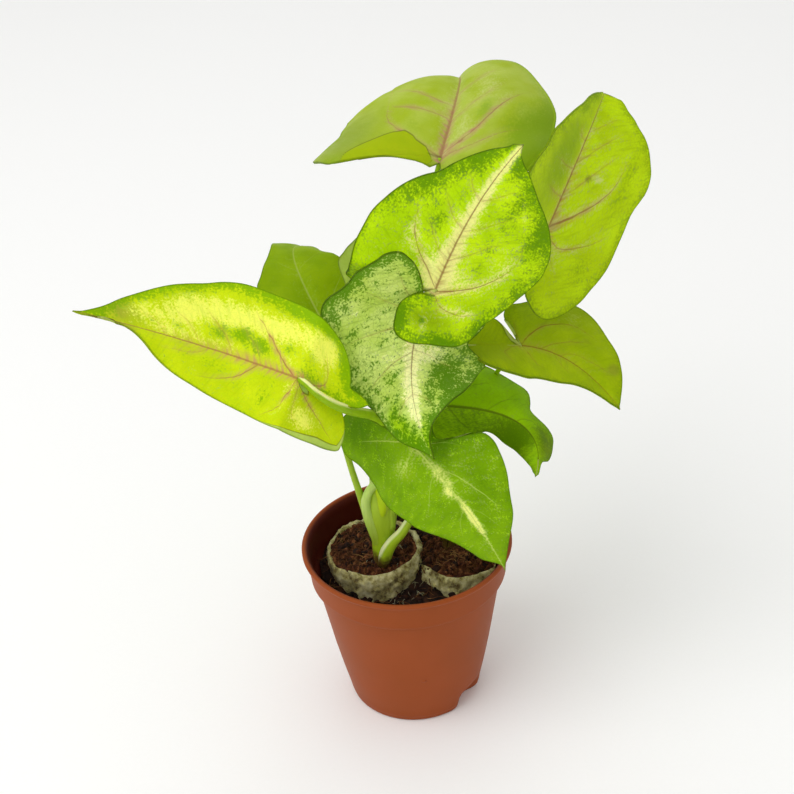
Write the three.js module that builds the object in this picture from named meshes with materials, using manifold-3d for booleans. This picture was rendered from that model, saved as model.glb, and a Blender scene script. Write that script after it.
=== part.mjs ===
// Young arrowhead plant in its round nursery pot.
// Millimetres, +Z up. Origin: centre of the pot's flat underside. The plant's front faces -Y.
import * as THREE from 'three';
import { mergeVertices } from 'three/addons/utils/BufferGeometryUtils.js';
import Module from 'manifold-3d';

const wasm = await Module();
wasm.setup();

// ---------------------------------------------------------------- driving dimensions

const GAP = 0.35;                  // air kept between two pieces that touch on the real plant
const BLADE_THICKNESS = 0.75;
const STALK_TIP = 0.7;             // a stalk's radius at the blade, as a share of its own radius
const SHEATH_WALL = 0.4;           // a sheath is this much thicker than the stalk that leaves it

const POT = {
  height: 52,
  lipRadius: 30,
  skirtTopRadius: 28.8,
  skirtBottomRadius: 28,
  skirtBottom: 42,
  wallTopRadius: 26.7,
  wallBottomRadius: 20.2,
  footTop: 4.4,
  footRadius: 17.7,
  wall: 0.9,
  floor: 1.6,
  sides: 36,
};

// Hollows pressed into the pot's base edge, where water drains away.
const DRAIN = { angles: [55, 235], radius: 5.2, fromAxis: 22.3, height: 1 };

const SOIL_TOP = 37;

// Starter plugs: a fleece sleeve round a coir core, both tapering towards the pot's middle.
const PLUGS = {
  left: { top: [-10.5, 8, 43.6], topRadius: 13, foot: [-8, 3, 10], footRadius: 9 },
  right: { top: [15.3, 8, 43], topRadius: 12.4, foot: [9.8, 3, 10], footRadius: 8.3 },
};
const PLUG_SIDES = 26;
const FLEECE = 0.8;                // sleeve thickness
const CORE_DROP = 1.6;             // the coir ends this far under the sleeve's rim

const CROWN = { root: [-6.4, 2.4, 33], radius: 2.7 };
const SHOOT = { root: [12.3, 8.4, 33], radius: 1.9 };
// A young rolled leaf that leaves the crown low on its front.
const ROLLED_LEAF = [[-6.8, 0.6, 43], [-9.5, -3, 51], [-2, -5, 56], [3.2, -4, 60.5]];
const ROLLED_RADII = [1.5, 1.6, 1.2, 0.6];

// ---------------------------------------------------------------- leaves
// junction, middle and tip are points of the midrib. face gives the compass angle and the
// height angle that the upper side looks to, twist how far it turns towards the tip.
// The stalk leaves its sheath at foot and bends by way of rise and reach to the junction.

// One half of a blade. width: junction to widest edge. lobe, offset, round: length of the
// back lobe, its distance from the midrib and its roundness. station: where along the midrib
// the blade is widest. fold, cup, droop: angles of the half, across it and along its lobe.
const half = (width, lobe, offset, round, station, fold, cup, droop) => ({
  width, lobe, offset, round, station, fold, cup, droop,
});

const LEAVES = {
  leaf_long_left: {
    colour: 0xb9c46a, stalk: 1.15,
    junction: [-24, -24.6, 122.5], middle: [-50.3, -20, 132.4], tip: [-75.9, -27.3, 147.4],
    face: [-5, 56], twist: -9,
    left: half(14, 22, 8, 6, 0.1, 3, -21, -52),
    right: half(19, 19, 3, 0, 0.28, 9, -5, -27),
    foot: [-7.2, -1, 57], rise: [-4.1, 1.7, 94.5], reach: [-9.2, -14.5, 113.2],
  },
  leaf_centre: {
    colour: 0x9fb98a, stalk: 1.15,
    junction: [11.3, -13.7, 139], middle: [21.8, -9.7, 158], tip: [34.5, -8.7, 176],
    face: [20, 29], twist: 1,
    left: half(23, 15, 11, 5, 0.12, -7, 0, -60),
    right: half(25, 15, -2, 9, 0.38, -6, -4, 25),
    foot: [-4, 2.4, 57], rise: [1.6, 1.9, 95.5], reach: [8.9, 3, 135.4],
  },
  leaf_top_back: {
    colour: 0xb3a97a, stalk: 1.1,
    junction: [15, 9.3, 164.3], middle: [22.1, 36.3, 173.3], tip: [20.7, 57, 162.4],
    face: [-1, 75], twist: 2,
    left: half(40, 2, 30, 12, 0.02, 12, -66, -14),
    right: half(27.7, 9, 16, 7, 0.2, 38, -76, -25),
    foot: [-5.2, 5.6, 57], rise: [-6, 12, 108], reach: [9.5, 4, 146],
  },
  leaf_upper_right: {
    colour: 0xa4c46a, stalk: 1.05,
    junction: [42, 10, 142.2], middle: [53.8, 18.2, 165], tip: [58, 22, 173.6],
    face: [37, 29], twist: -1,
    left: half(20.5, 14, 9, 5, 0.12, 36, -8, 0),
    right: half(24.8, 19, 10, 5, 0.28, -1, -4, 7),
    foot: [12.4, 9.8, 46], rise: [12, 17, 90], reach: [33, 27, 124],
  },
  leaf_lower_right: {
    colour: 0xa3b83a, stalk: 0.95,
    junction: [33.6, 0.5, 113], middle: [47, -2.5, 108.3], tip: [58.2, -13, 99.6],
    face: [19, 62], twist: 0,
    left: half(19.5, 10, 6, 4, 0.3, 0, -20, -10),
    right: half(13.7, 12, 4, 7, 0.2, 18, 4, 9),
    foot: [14, 7.4, 46], rise: [15, 13, 84], reach: [25.5, 12.8, 104.6],
  },
  leaf_pale_centre: {
    colour: 0xa39f74, stalk: 1.05,
    junction: [7.4, -12.4, 131.6], middle: [4, -16.3, 112.5], tip: [8.2, -32.5, 101],
    face: [-8, -8], twist: -1,
    left: half(18.5, 11, 10, 4.5, 0.18, -18, 0, -48),
    right: half(22, 20, 9.5, 6.5, 0.02, 5.5, 0, 10),
    foot: [-7, 2.4, 57], rise: [-4.5, 5, 98], reach: [6, 4, 133],
  },
  leaf_front: {
    colour: 0x5d8a28, stalk: 1.05,
    junction: [2.9, -18, 96.6], middle: [16.2, -27, 80.8], tip: [26, -26, 58.8],
    face: [-10, 11], twist: 0,
    left: half(16, 12, 8.5, 5, 0.2, -3, -20, -20),
    right: half(19.8, 18, 9.3, 7, 0.2, -3, -26, 11),
    foot: [-4.2, -0.6, 57], rise: [-2.2, -2, 80], reach: [-2, -11, 97],
  },
  leaf_folded: {
    colour: 0x9aa04a, stalk: 0.85,
    junction: [12.8, -8.2, 101.2], middle: [33, -7.7, 93], tip: [35.3, -17, 82.6],
    face: [38, 34], twist: 3,
    left: half(14.5, 8, 6, 4, 0.2, -15, -25, 0),
    right: half(13, 8, 6, 4, 0.2, -73, -36, 0),
    foot: [10.8, 7.2, 46], rise: [8.9, 4.8, 75], reach: [3.4, -5.9, 93.8],
  },
  leaf_back_left: {
    colour: 0x7b8f3a, stalk: 0.95,
    junction: [-17.6, 8.5, 117.5], middle: [-25.5, 27, 129], tip: [-23.5, 43, 125],
    face: [-14, 77], twist: -2,
    left: half(12.5, 9, 7, 4, 0.3, 5, -21, 0),
    right: half(17, 9, 7, 4, 0.2, 0, -27, -20),
    foot: [-10.2, 2, 57], rise: [-14.5, 0.5, 78], reach: [-19, 4, 100],
  },
  leaf_small_back: {
    colour: 0xa9b27a, stalk: 0.8,
    junction: [-1, 14, 126], middle: [-1.7, 18, 135], tip: [2, 21, 142],
    face: [-13, 30], twist: 0,
    left: half(10.5, 5, 5, 3, 0.2, 5, -10, 0),
    right: half(12, 5, 5, 3, 0.2, 5, -10, 0),
    foot: [-8.4, 5.6, 57], rise: [-10, 10, 90], reach: [-2, 16, 108],
  },
};
const SHOOT_LEAVES = ['leaf_upper_right', 'leaf_lower_right', 'leaf_folded'];

const SINUS = 1.5;                 // the notch between the lobes ends this far behind the junction
const EDGE_STEPS = [8, 6, 5];      // points along tip to widest, widest to lobe, lobe to notch
const ACROSS = [0, 0.36, 0.7, 1];  // rows of points from the midrib to the edge

// ---------------------------------------------------------------- solids

const vec = (p) => new THREE.Vector3(...p);
const rad = THREE.MathUtils.degToRad;

function volumeOf(points, triangles) {
  let sum = 0;
  for (const [a, b, c] of triangles) {
    sum += points[a].dot(new THREE.Vector3().crossVectors(points[b], points[c]));
  }
  return sum / 6;
}

// Joins points and triangles to one solid whose faces look outwards.
function solidFrom(points, triangles) {
  const turned = volumeOf(points, triangles) < 0;
  const order = triangles.map(([a, b, c]) => (turned ? [a, c, b] : [a, b, c]));
  const mesh = new wasm.Mesh({
    numProp: 3,
    vertProperties: new Float32Array(points.flatMap((p) => p.toArray())),
    triVerts: new Uint32Array(order.flat()),
  });
  return new wasm.Manifold(mesh);
}

function solidFromGeometry(geometry) {
  const bare = geometry.clone();
  bare.deleteAttribute('normal');
  bare.deleteAttribute('uv');
  const merged = mergeVertices(bare, 1e-4);
  const position = merged.getAttribute('position');
  const points = [];
  for (let i = 0; i < position.count; i += 1) {
    points.push(new THREE.Vector3().fromBufferAttribute(position, i));
  }
  const index = merged.getIndex().array;
  const triangles = [];
  for (let i = 0; i < index.length; i += 3) {
    const [a, b, c] = [index[i], index[i + 1], index[i + 2]];
    if (a !== b && b !== c && c !== a) triangles.push([a, b, c]);
  }
  return solidFrom(points, triangles);
}

function revolve(profile, sides = POT.sides) {
  const outline = profile.map(([r, z]) => new THREE.Vector2(r, z));
  return solidFromGeometry(new THREE.LatheGeometry(outline, sides).rotateX(Math.PI / 2));
}

// A closed skin over a row of rings, each a list of as many points, with flat ends.
function skin(rings) {
  const count = rings[0].length;
  const points = rings.flat();
  const triangles = [];
  for (let k = 0; k + 1 < rings.length; k += 1) {
    for (let i = 0; i < count; i += 1) {
      const next = (i + 1) % count;
      const [a, b] = [k * count + i, k * count + next];
      triangles.push([a, b, b + count], [a, b + count, a + count]);
    }
  }
  const last = (rings.length - 1) * count;
  for (let i = 1; i + 1 < count; i += 1) {
    triangles.push([0, i + 1, i], [last, last + i, last + i + 1]);
  }
  return solidFrom(points, triangles);
}

// A round stem along a row of points, with its own radius at each.
function stem(path, radii, sides = 7) {
  let across = new THREE.Vector3(1, 0, 0);
  const rings = path.map((point, k) => {
    const before = path[Math.max(k - 1, 0)];
    const after = path[Math.min(k + 1, path.length - 1)];
    const along = new THREE.Vector3().subVectors(after, before).normalize();
    across = across.addScaledVector(along, -across.dot(along)).normalize();
    const third = new THREE.Vector3().crossVectors(along, across);
    return Array.from({ length: sides }, (_, i) => {
      const angle = (2 * Math.PI * i) / sides;
      return point.clone()
        .addScaledVector(across, radii[k] * Math.cos(angle))
        .addScaledVector(third, radii[k] * Math.sin(angle));
    });
  });
  return skin(rings);
}

// ---------------------------------------------------------------- pot, plugs and soil

function potOutside() {
  const p = POT;
  return revolve([
    [0, 0],
    [p.footRadius, 0],
    [p.footRadius + 1.5, 1.4],
    [p.wallBottomRadius, p.footTop],
    [p.wallTopRadius, p.skirtBottom - 0.5],
    [p.skirtBottomRadius, p.skirtBottom + 0.2],
    [p.skirtTopRadius, p.height - 1.9],
    [p.lipRadius - 0.1, p.height - 1.4],
    [p.lipRadius, p.height - 0.4],
    [p.lipRadius - 0.4, p.height],
    [0, p.height],
  ]);
}

// The pot's inside, drawn in by a margin and open above the lip.
function potInside(margin, top = POT.height + 1) {
  const p = POT;
  const inset = p.wall + margin;
  const rows = [
    [0, p.floor + margin],
    [p.footRadius - inset, p.floor + margin],
    [p.wallBottomRadius - inset, p.footTop + margin],
    [p.wallTopRadius - inset, p.skirtBottom - 0.3],
    [p.skirtBottomRadius - inset, p.skirtBottom + 0.6],
    [p.skirtTopRadius - inset, p.height - 1.9],
    [p.lipRadius - 0.8 - margin, p.height - 0.6],
    [p.lipRadius - 0.8 - margin, POT.height + 1],
  ];
  const kept = rows.filter(([, z]) => z < top);
  const [[r0, z0], [r1, z1]] = [kept[kept.length - 1], rows[kept.length] ?? rows[rows.length - 1]];
  const share = z1 > z0 ? (top - z0) / (z1 - z0) : 0;
  return revolve([...kept, [r0 + share * (r1 - r0), top], [0, top]]);
}

function drainHollows(extra) {
  return DRAIN.angles.map((angle) => {
    const ball = new THREE.SphereGeometry(DRAIN.radius + extra, 14, 8);
    const turn = rad(angle);
    const [x, y] = [DRAIN.fromAxis * Math.sin(turn), -DRAIN.fromAxis * Math.cos(turn)];
    return solidFromGeometry(ball.translate(x, y, DRAIN.height));
  });
}

function withoutAll(solid, others) {
  return others.reduce((rest, other) => rest.subtract(other), solid);
}

function makePot() {
  const shell = withoutAll(potOutside(), drainHollows(0));
  return shell.subtract(withoutAll(potInside(0), drainHollows(POT.wall)));
}

// A plug's body, grown or drawn in by a margin, from its foot up to topZ.
function plugBody(plug, margin, topZ = plug.top[2], footZ = plug.foot[2]) {
  const [top, foot] = [vec(plug.top), vec(plug.foot)];
  const rings = [footZ, (footZ + topZ) / 2, topZ].map((z) => {
    const share = (z - foot.z) / (top.z - foot.z);
    const centre = new THREE.Vector3().lerpVectors(foot, top, share);
    const radius = margin + THREE.MathUtils.lerp(plug.footRadius, plug.topRadius, share);
    return Array.from({ length: PLUG_SIDES }, (_, i) => {
      const angle = (2 * Math.PI * i) / PLUG_SIDES;
      return new THREE.Vector3(radius * Math.cos(angle), radius * Math.sin(angle), 0)
        .add(centre).setZ(z);
    });
  });
  return skin(rings);
}

function makeSleeve(plug) {
  const outer = plugBody(plug, 0).intersect(potInside(GAP));
  const inner = plugBody(plug, -FLEECE, plug.top[2] + 1, plug.foot[2] - 1);
  return outer.subtract(inner.intersect(potInside(GAP + FLEECE)));
}

function makeCore(plug, stemHole) {
  const inset = FLEECE + GAP;
  const body = plugBody(plug, -inset, plug.top[2] - CORE_DROP, plug.foot[2] + 0.4);
  return body.intersect(potInside(GAP + inset)).subtract(stemHole);
}

function makeSoil() {
  const around = Object.values(PLUGS).map((plug) => (
    plugBody(plug, GAP, plug.top[2] + 2, plug.foot[2] - GAP)
  ));
  return withoutAll(potInside(GAP, SOIL_TOP), [...around, ...drainHollows(POT.wall + GAP)]);
}

// The plain round hole in a core that a stem stands in.
function stemHole(base) {
  const [x, y, z] = base.root;
  const foot = new THREE.Vector3(x, y, z - GAP);
  const top = new THREE.Vector3(x, y, z + 20);
  const radius = base.radius + GAP + 0.1;
  return stem([foot, top], [radius, radius], 16);
}

// ---------------------------------------------------------------- crown, shoot and leaves

// Leaf sheaths grown together at their root, one for each stalk.
function makeSheaths(base, names, extra = []) {
  const [x, y, z] = base.root;
  const root = vec(base.root);
  const collar = new THREE.Vector3(x, y, z + 11.5);
  const parts = [stem([root, collar], [base.radius, base.radius * 0.95], 10)];
  for (const name of names) {
    const leaf = LEAVES[name];
    const foot = vec(leaf.foot);
    const from = new THREE.Vector3().lerpVectors(root, foot, 0.02).setZ(z + 8);
    const middle = new THREE.Vector3().lerpVectors(from, foot, 0.5);
    middle.x += 0.35 * (foot.x - x);
    middle.y += 0.35 * (foot.y - y);
    const thick = leaf.stalk + SHEATH_WALL;
    const top = foot.clone().setZ(foot.z - GAP);
    parts.push(stem([from, middle, top], [thick, thick + 0.5, thick], 8));
  }
  return [...parts, ...extra].reduce((all, part) => all.add(part));
}

function stalkPath(leaf, steps = 9) {
  const curve = new THREE.CubicBezierCurve3(
    vec(leaf.foot), vec(leaf.rise), vec(leaf.reach), vec(leaf.junction),
  );
  return curve.getPoints(steps);
}

function makeStalk(leaf) {
  const path = stalkPath(leaf);
  const radii = path.map((_, k) => {
    const share = k / (path.length - 1);
    return leaf.stalk * THREE.MathUtils.lerp(1, STALK_TIP, share);
  });
  return stem(path, radii, 7);
}

function bezier(p0, p1, p2, p3, count) {
  const curve = new THREE.CubicBezierCurve(
    new THREE.Vector2(...p0), new THREE.Vector2(...p1),
    new THREE.Vector2(...p2), new THREE.Vector2(...p3),
  );
  return Array.from({ length: count }, (_, i) => curve.getPoint(i / (count - 1)));
}

// Edge of one half blade, as distances along and across the midrib: tip, widest, lobe, notch.
function bladeEdge(length, h) {
  const wide = h.station * length;
  const back = -h.lobe;
  const parts = [
    bezier([length, 0], [length - 0.34 * (length - wide), 0.16 * h.width],
      [wide + 0.5 * (length - wide), h.width], [wide, h.width], EDGE_STEPS[0]),
    bezier([wide, h.width], [wide - 0.55 * (wide - back), h.width],
      [back, h.offset + 0.55 * (h.width - h.offset)], [back, h.offset], EDGE_STEPS[1]),
    bezier([back, h.offset], [back, h.offset - h.round],
      [-SINUS + 0.4 * back, h.offset - h.round], [-SINUS, 0], EDGE_STEPS[2]),
  ];
  return parts.flatMap((points, k) => (k ? points.slice(1) : points));
}

// Place on a line that starts at an angle and bends evenly: [along, up] after a distance.
function bend(start, bendPerMm, distance) {
  if (Math.abs(bendPerMm) < 1e-6) {
    return [Math.cos(start) * distance, Math.sin(start) * distance];
  }
  const end = start + bendPerMm * distance;
  return [
    (Math.sin(end) - Math.sin(start)) / bendPerMm,
    (Math.cos(start) - Math.cos(end)) / bendPerMm,
  ];
}

// A blade's middle surface: point at s along the midrib and t across, on side 1 or -1.
function makeSurface(leaf) {
  const [start, middle, end] = [vec(leaf.junction), vec(leaf.middle), vec(leaf.tip)];
  const control = middle.clone().multiplyScalar(2)
    .addScaledVector(start, -0.5).addScaledVector(end, -0.5);
  const midrib = new THREE.QuadraticBezierCurve3(start, control, end);
  const length = midrib.getPoints(40).reduce(
    (sum, point, k, all) => (k ? sum + point.distanceTo(all[k - 1]) : 0), 0,
  );
  const [compass, height] = leaf.face.map(rad);
  const look = new THREE.Vector3(
    Math.sin(compass) * Math.cos(height),
    -Math.cos(compass) * Math.cos(height),
    Math.sin(height),
  );
  const at = (s, t, side) => {
    const h = side > 0 ? leaf.left : leaf.right;
    const share = THREE.MathUtils.clamp(s / length, 0, 1);
    const point = midrib.getPoint(share);
    const along = new THREE.Vector3().subVectors(control, start).multiplyScalar(1 - share)
      .addScaledVector(new THREE.Vector3().subVectors(end, control), share).normalize();
    const up = look.clone().addScaledVector(along, -look.dot(along)).normalize();
    const across = new THREE.Vector3().crossVectors(up, along);
    const turn = rad(leaf.twist) * share;
    const normal = up.clone().multiplyScalar(Math.cos(turn))
      .addScaledVector(across, Math.sin(turn));
    const wide = across.clone().multiplyScalar(Math.cos(turn))
      .addScaledVector(up, -Math.sin(turn));
    const [out, lift] = bend(rad(h.fold), rad(h.cup) / h.width, Math.abs(t));
    const behind = Math.max(-s, 0);
    const droop = rad(h.droop);
    return point.addScaledVector(wide, side * (t < 0 ? -1 : 1) * out)
      .addScaledVector(normal, lift + Math.sin(droop) * behind)
      .addScaledVector(along, -Math.cos(droop) * behind);
  };
  return { length, at };
}

// Grid points and triangles of a blade's middle surface, both halves sharing the midrib.
function bladeGrid(leaf) {
  const { length, at } = makeSurface(leaf);
  const edges = [leaf.left, leaf.right].map((h) => bladeEdge(length, h));
  const last = edges[0].length - 1;
  const station = edges[0].map((_, j) => {
    if (j === last) return 0;
    const shares = edges.map((edge) => {
      const { x: s, y: t } = edge[j];
      const slant = THREE.MathUtils.clamp((length - s) / length, 0, 1);
      return THREE.MathUtils.clamp(s - 0.5 * Math.abs(t) * slant, 0, length);
    });
    return (shares[0] + shares[1]) / 2;
  });
  const points = [];
  const triangles = [];
  const known = new Map();
  const corner = (i, j, side) => {
    const middleLine = i === 0 || j === last;
    const key = j === 0 ? 'tip' : `${i},${j},${middleLine ? 0 : side}`;
    if (!known.has(key)) {
      const edge = edges[side > 0 ? 0 : 1][j];
      const share = ACROSS[i];
      const s = THREE.MathUtils.lerp(station[j], edge.x, share);
      known.set(key, points.push(at(s, edge.y * share, side)) - 1);
    }
    return known.get(key);
  };
  for (const side of [1, -1]) {
    for (let i = 0; i + 1 < ACROSS.length; i += 1) {
      for (let j = 0; j < last; j += 1) {
        const [a, b] = [corner(i, j, side), corner(i, j + 1, side)];
        const [c, d] = [corner(i + 1, j + 1, side), corner(i + 1, j, side)];
        for (const face of [[a, b, c], [a, c, d]]) {
          const [p, q, r] = side > 0 ? face : [face[0], face[2], face[1]];
          if (p !== q && q !== r && r !== p) triangles.push([p, q, r]);
        }
      }
    }
  }
  return { points: mergeLine(points, triangles), triangles };
}

// Corners of the midrib line that fall on one place become one point.
function mergeLine(points, triangles) {
  const first = points.map((p, i) => points.findIndex((q) => q.distanceTo(p) < 1e-6));
  for (let k = triangles.length - 1; k >= 0; k -= 1) {
    const face = triangles[k].map((i) => first[i]);
    if (new Set(face).size < 3) triangles.splice(k, 1);
    else triangles[k] = face;
  }
  return points;
}

// Gives a surface its thickness, with the same triangles on both faces and a rim round it.
function thicken(points, triangles, thickness) {
  const normals = points.map(() => new THREE.Vector3());
  const open = new Map();
  for (const face of triangles) {
    const [a, b, c] = face.map((i) => points[i]);
    const normal = new THREE.Vector3().crossVectors(
      new THREE.Vector3().subVectors(b, a), new THREE.Vector3().subVectors(c, a),
    ).normalize();
    face.forEach((i) => normals[i].add(normal));
    face.forEach((from, k) => {
      const to = face[(k + 1) % 3];
      if (open.has(`${to},${from}`)) open.delete(`${to},${from}`);
      else open.set(`${from},${to}`, [from, to]);
    });
  }
  const used = [...new Set(triangles.flat())];
  const place = new Map(used.map((i, k) => [i, k]));
  const shell = [1, -1].flatMap((side) => used.map((i) => (
    points[i].clone().addScaledVector(normals[i].clone().normalize(), (side * thickness) / 2)
  )));
  const under = used.length;
  const faces = triangles.flatMap((face) => {
    const [a, b, c] = face.map((i) => place.get(i));
    return [[a, b, c], [a + under, c + under, b + under]];
  });
  for (const [from, to] of open.values()) {
    const [a, b] = [place.get(from), place.get(to)];
    faces.push([b, a, a + under], [b, a + under, b + under]);
  }
  return solidFrom(shell, faces);
}

function makeLeaf(leaf) {
  const { points, triangles } = bladeGrid(leaf);
  return thicken(points, triangles, BLADE_THICKNESS).add(makeStalk(leaf));
}

// ---------------------------------------------------------------- the part

const plant = new THREE.Group();
plant.name = 'arrowhead_plant';

function addNode(name, solid, color, roughness) {
  const mesh = solid.getMesh();
  const geometry = new THREE.BufferGeometry();
  geometry.setAttribute('position', new THREE.BufferAttribute(mesh.vertProperties, 3));
  geometry.setIndex(new THREE.BufferAttribute(mesh.triVerts, 1));
  geometry.computeVertexNormals();
  const material = new THREE.MeshStandardMaterial({ color, roughness, metalness: 0 });
  const node = new THREE.Mesh(geometry, material);
  node.name = name;
  plant.add(node);
}

const crownLeaves = Object.keys(LEAVES).filter((name) => !SHOOT_LEAVES.includes(name));
const rolledPath = new THREE.CatmullRomCurve3(ROLLED_LEAF.map(vec)).getPoints(3);

addNode('pot', makePot(), 0xa4583a, 0.5);
addNode('soil', makeSoil(), 0x2e211b, 0.95);
addNode('plug_sleeve_left', makeSleeve(PLUGS.left), 0x7b7a5c, 0.9);
addNode('plug_sleeve_right', makeSleeve(PLUGS.right), 0x7b7a5c, 0.9);
addNode('plug_core_left', makeCore(PLUGS.left, stemHole(CROWN)), 0x4a2e1f, 0.95);
addNode('plug_core_right', makeCore(PLUGS.right, stemHole(SHOOT)), 0x4a2e1f, 0.95);
addNode('crown', makeSheaths(CROWN, crownLeaves, [stem(rolledPath, ROLLED_RADII, 8)]),
  0xa9b83f, 0.5);
addNode('shoot', makeSheaths(SHOOT, SHOOT_LEAVES), 0xb0b84f, 0.5);
for (const [name, leaf] of Object.entries(LEAVES)) {
  addNode(name, makeLeaf(leaf), leaf.colour, 0.5);
}

export default plant;
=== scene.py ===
# %% [markdown]
# # A young arrowhead plant in its nursery pot
# This lesson dresses a finished frame of solids: a thin plastic pot, two starter plugs in
# dark soil, and ten arrow-shaped leaves on long stalks. The frame gives every size and place.
# Here each solid gets a finer piece with the finish of the real thing, and nothing moves.

import math

import bpy
import numpy as np
from mathutils import Matrix, Vector, noise


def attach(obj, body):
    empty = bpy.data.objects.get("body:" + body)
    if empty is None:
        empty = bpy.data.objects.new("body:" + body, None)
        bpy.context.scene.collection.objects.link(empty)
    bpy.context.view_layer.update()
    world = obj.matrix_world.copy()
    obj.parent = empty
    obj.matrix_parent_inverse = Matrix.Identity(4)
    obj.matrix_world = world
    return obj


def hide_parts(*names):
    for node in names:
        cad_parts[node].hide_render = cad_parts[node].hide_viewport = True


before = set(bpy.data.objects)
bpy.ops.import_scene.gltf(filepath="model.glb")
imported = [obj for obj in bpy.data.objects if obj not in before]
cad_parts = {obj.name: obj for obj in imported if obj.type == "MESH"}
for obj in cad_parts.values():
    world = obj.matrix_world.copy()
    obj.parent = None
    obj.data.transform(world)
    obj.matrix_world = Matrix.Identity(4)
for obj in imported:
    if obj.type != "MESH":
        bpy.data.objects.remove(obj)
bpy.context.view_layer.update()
print("solids in the frame:", len(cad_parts))

MM = 0.001

# %% [markdown]
# ## Colours and shader nodes
# Paint charts and screens give colours as sRGB hex values, but a renderer counts light, which
# is linear. One function turns the first into the second. Another adds a shader node, sets it
# and links it in one line. A recipe holds the nodes of one material, with a short name for each
# step that many materials share: a sum, a ramp, a blend, a noise, a bump.

# %% Colour and node helpers
def colour(hex_value):
    """A linear colour from an sRGB hex value such as b5d603."""
    parts = [int(hex_value[i:i + 2], 16) / 255 for i in (0, 2, 4)]
    return tuple(c / 12.92 if c <= 0.04045 else ((c + 0.055) / 1.055) ** 2.4 for c in parts) + (1.0,)


def node(tree, kind, links=None, out=0, **settings):
    """Adds a shader node. links maps an input to a value or to another node's output."""
    made = tree.nodes.new("ShaderNode" + kind)
    for key, value in settings.items():
        setattr(made, key, value)
    for key, value in (links or {}).items():
        if isinstance(value, bpy.types.NodeSocket):
            tree.links.new(value, made.inputs[key])
        else:
            made.inputs[key].default_value = value
    return made if out is None else made.outputs[out]


class Recipe:
    """One node material in the making."""

    def __init__(self, name):
        self.material = bpy.data.materials.new(name)
        self.material.use_nodes = True
        self.tree = self.material.node_tree
        self.tree.nodes.clear()

    def place(self):
        """Where a point of the surface lies, in metres."""
        return node(self.tree, "TexCoord", out="Object")

    def stored(self, name):
        """The three numbers that the mesh keeps under a name."""
        vector = node(self.tree, "Attribute", attribute_name=name, out="Vector")
        return node(self.tree, "SeparateXYZ", {0: vector}, out=None).outputs

    def vector(self, x, y, z):
        return node(self.tree, "CombineXYZ", {0: x, 1: y, 2: z})

    def math(self, operation, *values):
        return node(self.tree, "Math", dict(enumerate(values)), operation=operation)

    def ramp(self, value, low, high, at_low=0.0, at_high=1.0, kind="LINEAR"):
        """at_low below low, at_high above high, and an even change between."""
        links = {0: value, 1: low, 2: high, 3: at_low, 4: at_high}
        return node(self.tree, "MapRange", links, interpolation_type=kind)

    def soft_ramp(self, *values):
        """The same, with a soft start and end."""
        return self.ramp(*values, kind="SMOOTHSTEP")

    def blend(self, share, under, over):
        """A share of one colour over another; each is a node's output or a hex value."""
        under, over = (colour(c) if isinstance(c, str) else c for c in (under, over))
        return node(self.tree, "Mix", {0: share, 6: under, 7: over}, data_type="RGBA", out=2)

    def noise(self, place, scale, detail, **more):
        """Cloudy noise with lumps of one over its scale."""
        return node(self.tree, "TexNoise", {"Vector": place, "Scale": scale, "Detail": detail, **more})

    def stretched(self, place, *scales):
        return node(self.tree, "Mapping", {"Vector": place, "Scale": scales})

    def tones(self, value, *stops):
        """A row of colours: each stop is a place from 0 to 1 and a hex value."""
        row = node(self.tree, "ValToRGB", {0: value})
        marks = row.node.color_ramp.elements
        for mark, (place, tone) in zip(marks, (stops[0], stops[-1])):
            mark.position, mark.color = place, colour(tone)
        for place, tone in stops[1:-1]:
            marks.new(place).color = colour(tone)
        return row

    def bump(self, height, strength, depth_mm):
        return node(self.tree, "Bump", {"Strength": strength, "Distance": depth_mm * MM, "Height": height})

    def finish(self, skin, rough, bump=None, shine=0.5, **more):
        """Adds the surface shader and the output, and gives the material."""
        links = {"Base Color": skin, "Roughness": rough, "Specular IOR Level": shine}
        if bump is not None:
            links["Normal"] = bump
        links.update({key.replace("_", " "): value for key, value in more.items()})
        node(self.tree, "OutputMaterial", {"Surface": node(self.tree, "BsdfPrincipled", links)}, out=None)
        return self.material


# %% [markdown]
# ## Making pieces
# Every piece is built as a plain list of corners and faces. The next helpers turn such lists
# into smooth mesh objects, tie them to the plant's one body and name the solid they stand for.

# %% Mesh helpers
def smooth_step(low, high, x):
    """0 below low, 1 above high, with a soft ramp between."""
    u = np.clip((x - low) / (high - low), 0, 1)
    return u * u * (3 - 2 * u)


def add_object(name, data):
    made = bpy.data.objects.new(name, data)
    bpy.context.scene.collection.objects.link(made)
    return made


def smooth_mesh(name, corners, faces, material):
    mesh = bpy.data.meshes.new(name)
    mesh.from_pydata([tuple(p) for p in corners], [], [list(f) for f in faces])
    mesh.validate()
    mesh.polygons.foreach_set("use_smooth", [True] * len(mesh.polygons))
    mesh.materials.append(material)
    return add_object(name, mesh)


def make_piece(name, corners_mm, faces, material, nodes):
    """A smooth mesh object, in metres, that rides on the plant and replaces some solids."""
    piece = smooth_mesh(name, np.asarray(corners_mm) * MM, faces, material)
    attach(piece, "root")
    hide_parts(*nodes)
    return piece


def corner_values(piece, name, values):
    """Stores one vector for each face corner, for the shader to read."""
    store = piece.data.attributes.new(name, "FLOAT_VECTOR", "CORNER")
    store.data.foreach_set("vector", np.asarray(values, np.float32).ravel())


def point_values(piece, name, values):
    """Stores one vector for each point, at all the face corners that meet there."""
    corner_values(piece, name, values[[i for face in piece.data.polygons for i in face.vertices]])


def bezier(p0, p1, p2, p3, count):
    """Points of a cubic curve."""
    u = np.linspace(0, 1, count)[:, None]
    p0, p1, p2, p3 = (np.array(p, float) for p in (p0, p1, p2, p3))
    return (1 - u) ** 3 * p0 + 3 * u * (1 - u) ** 2 * p1 + 3 * u * u * (1 - u) * p2 + u ** 3 * p3


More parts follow.
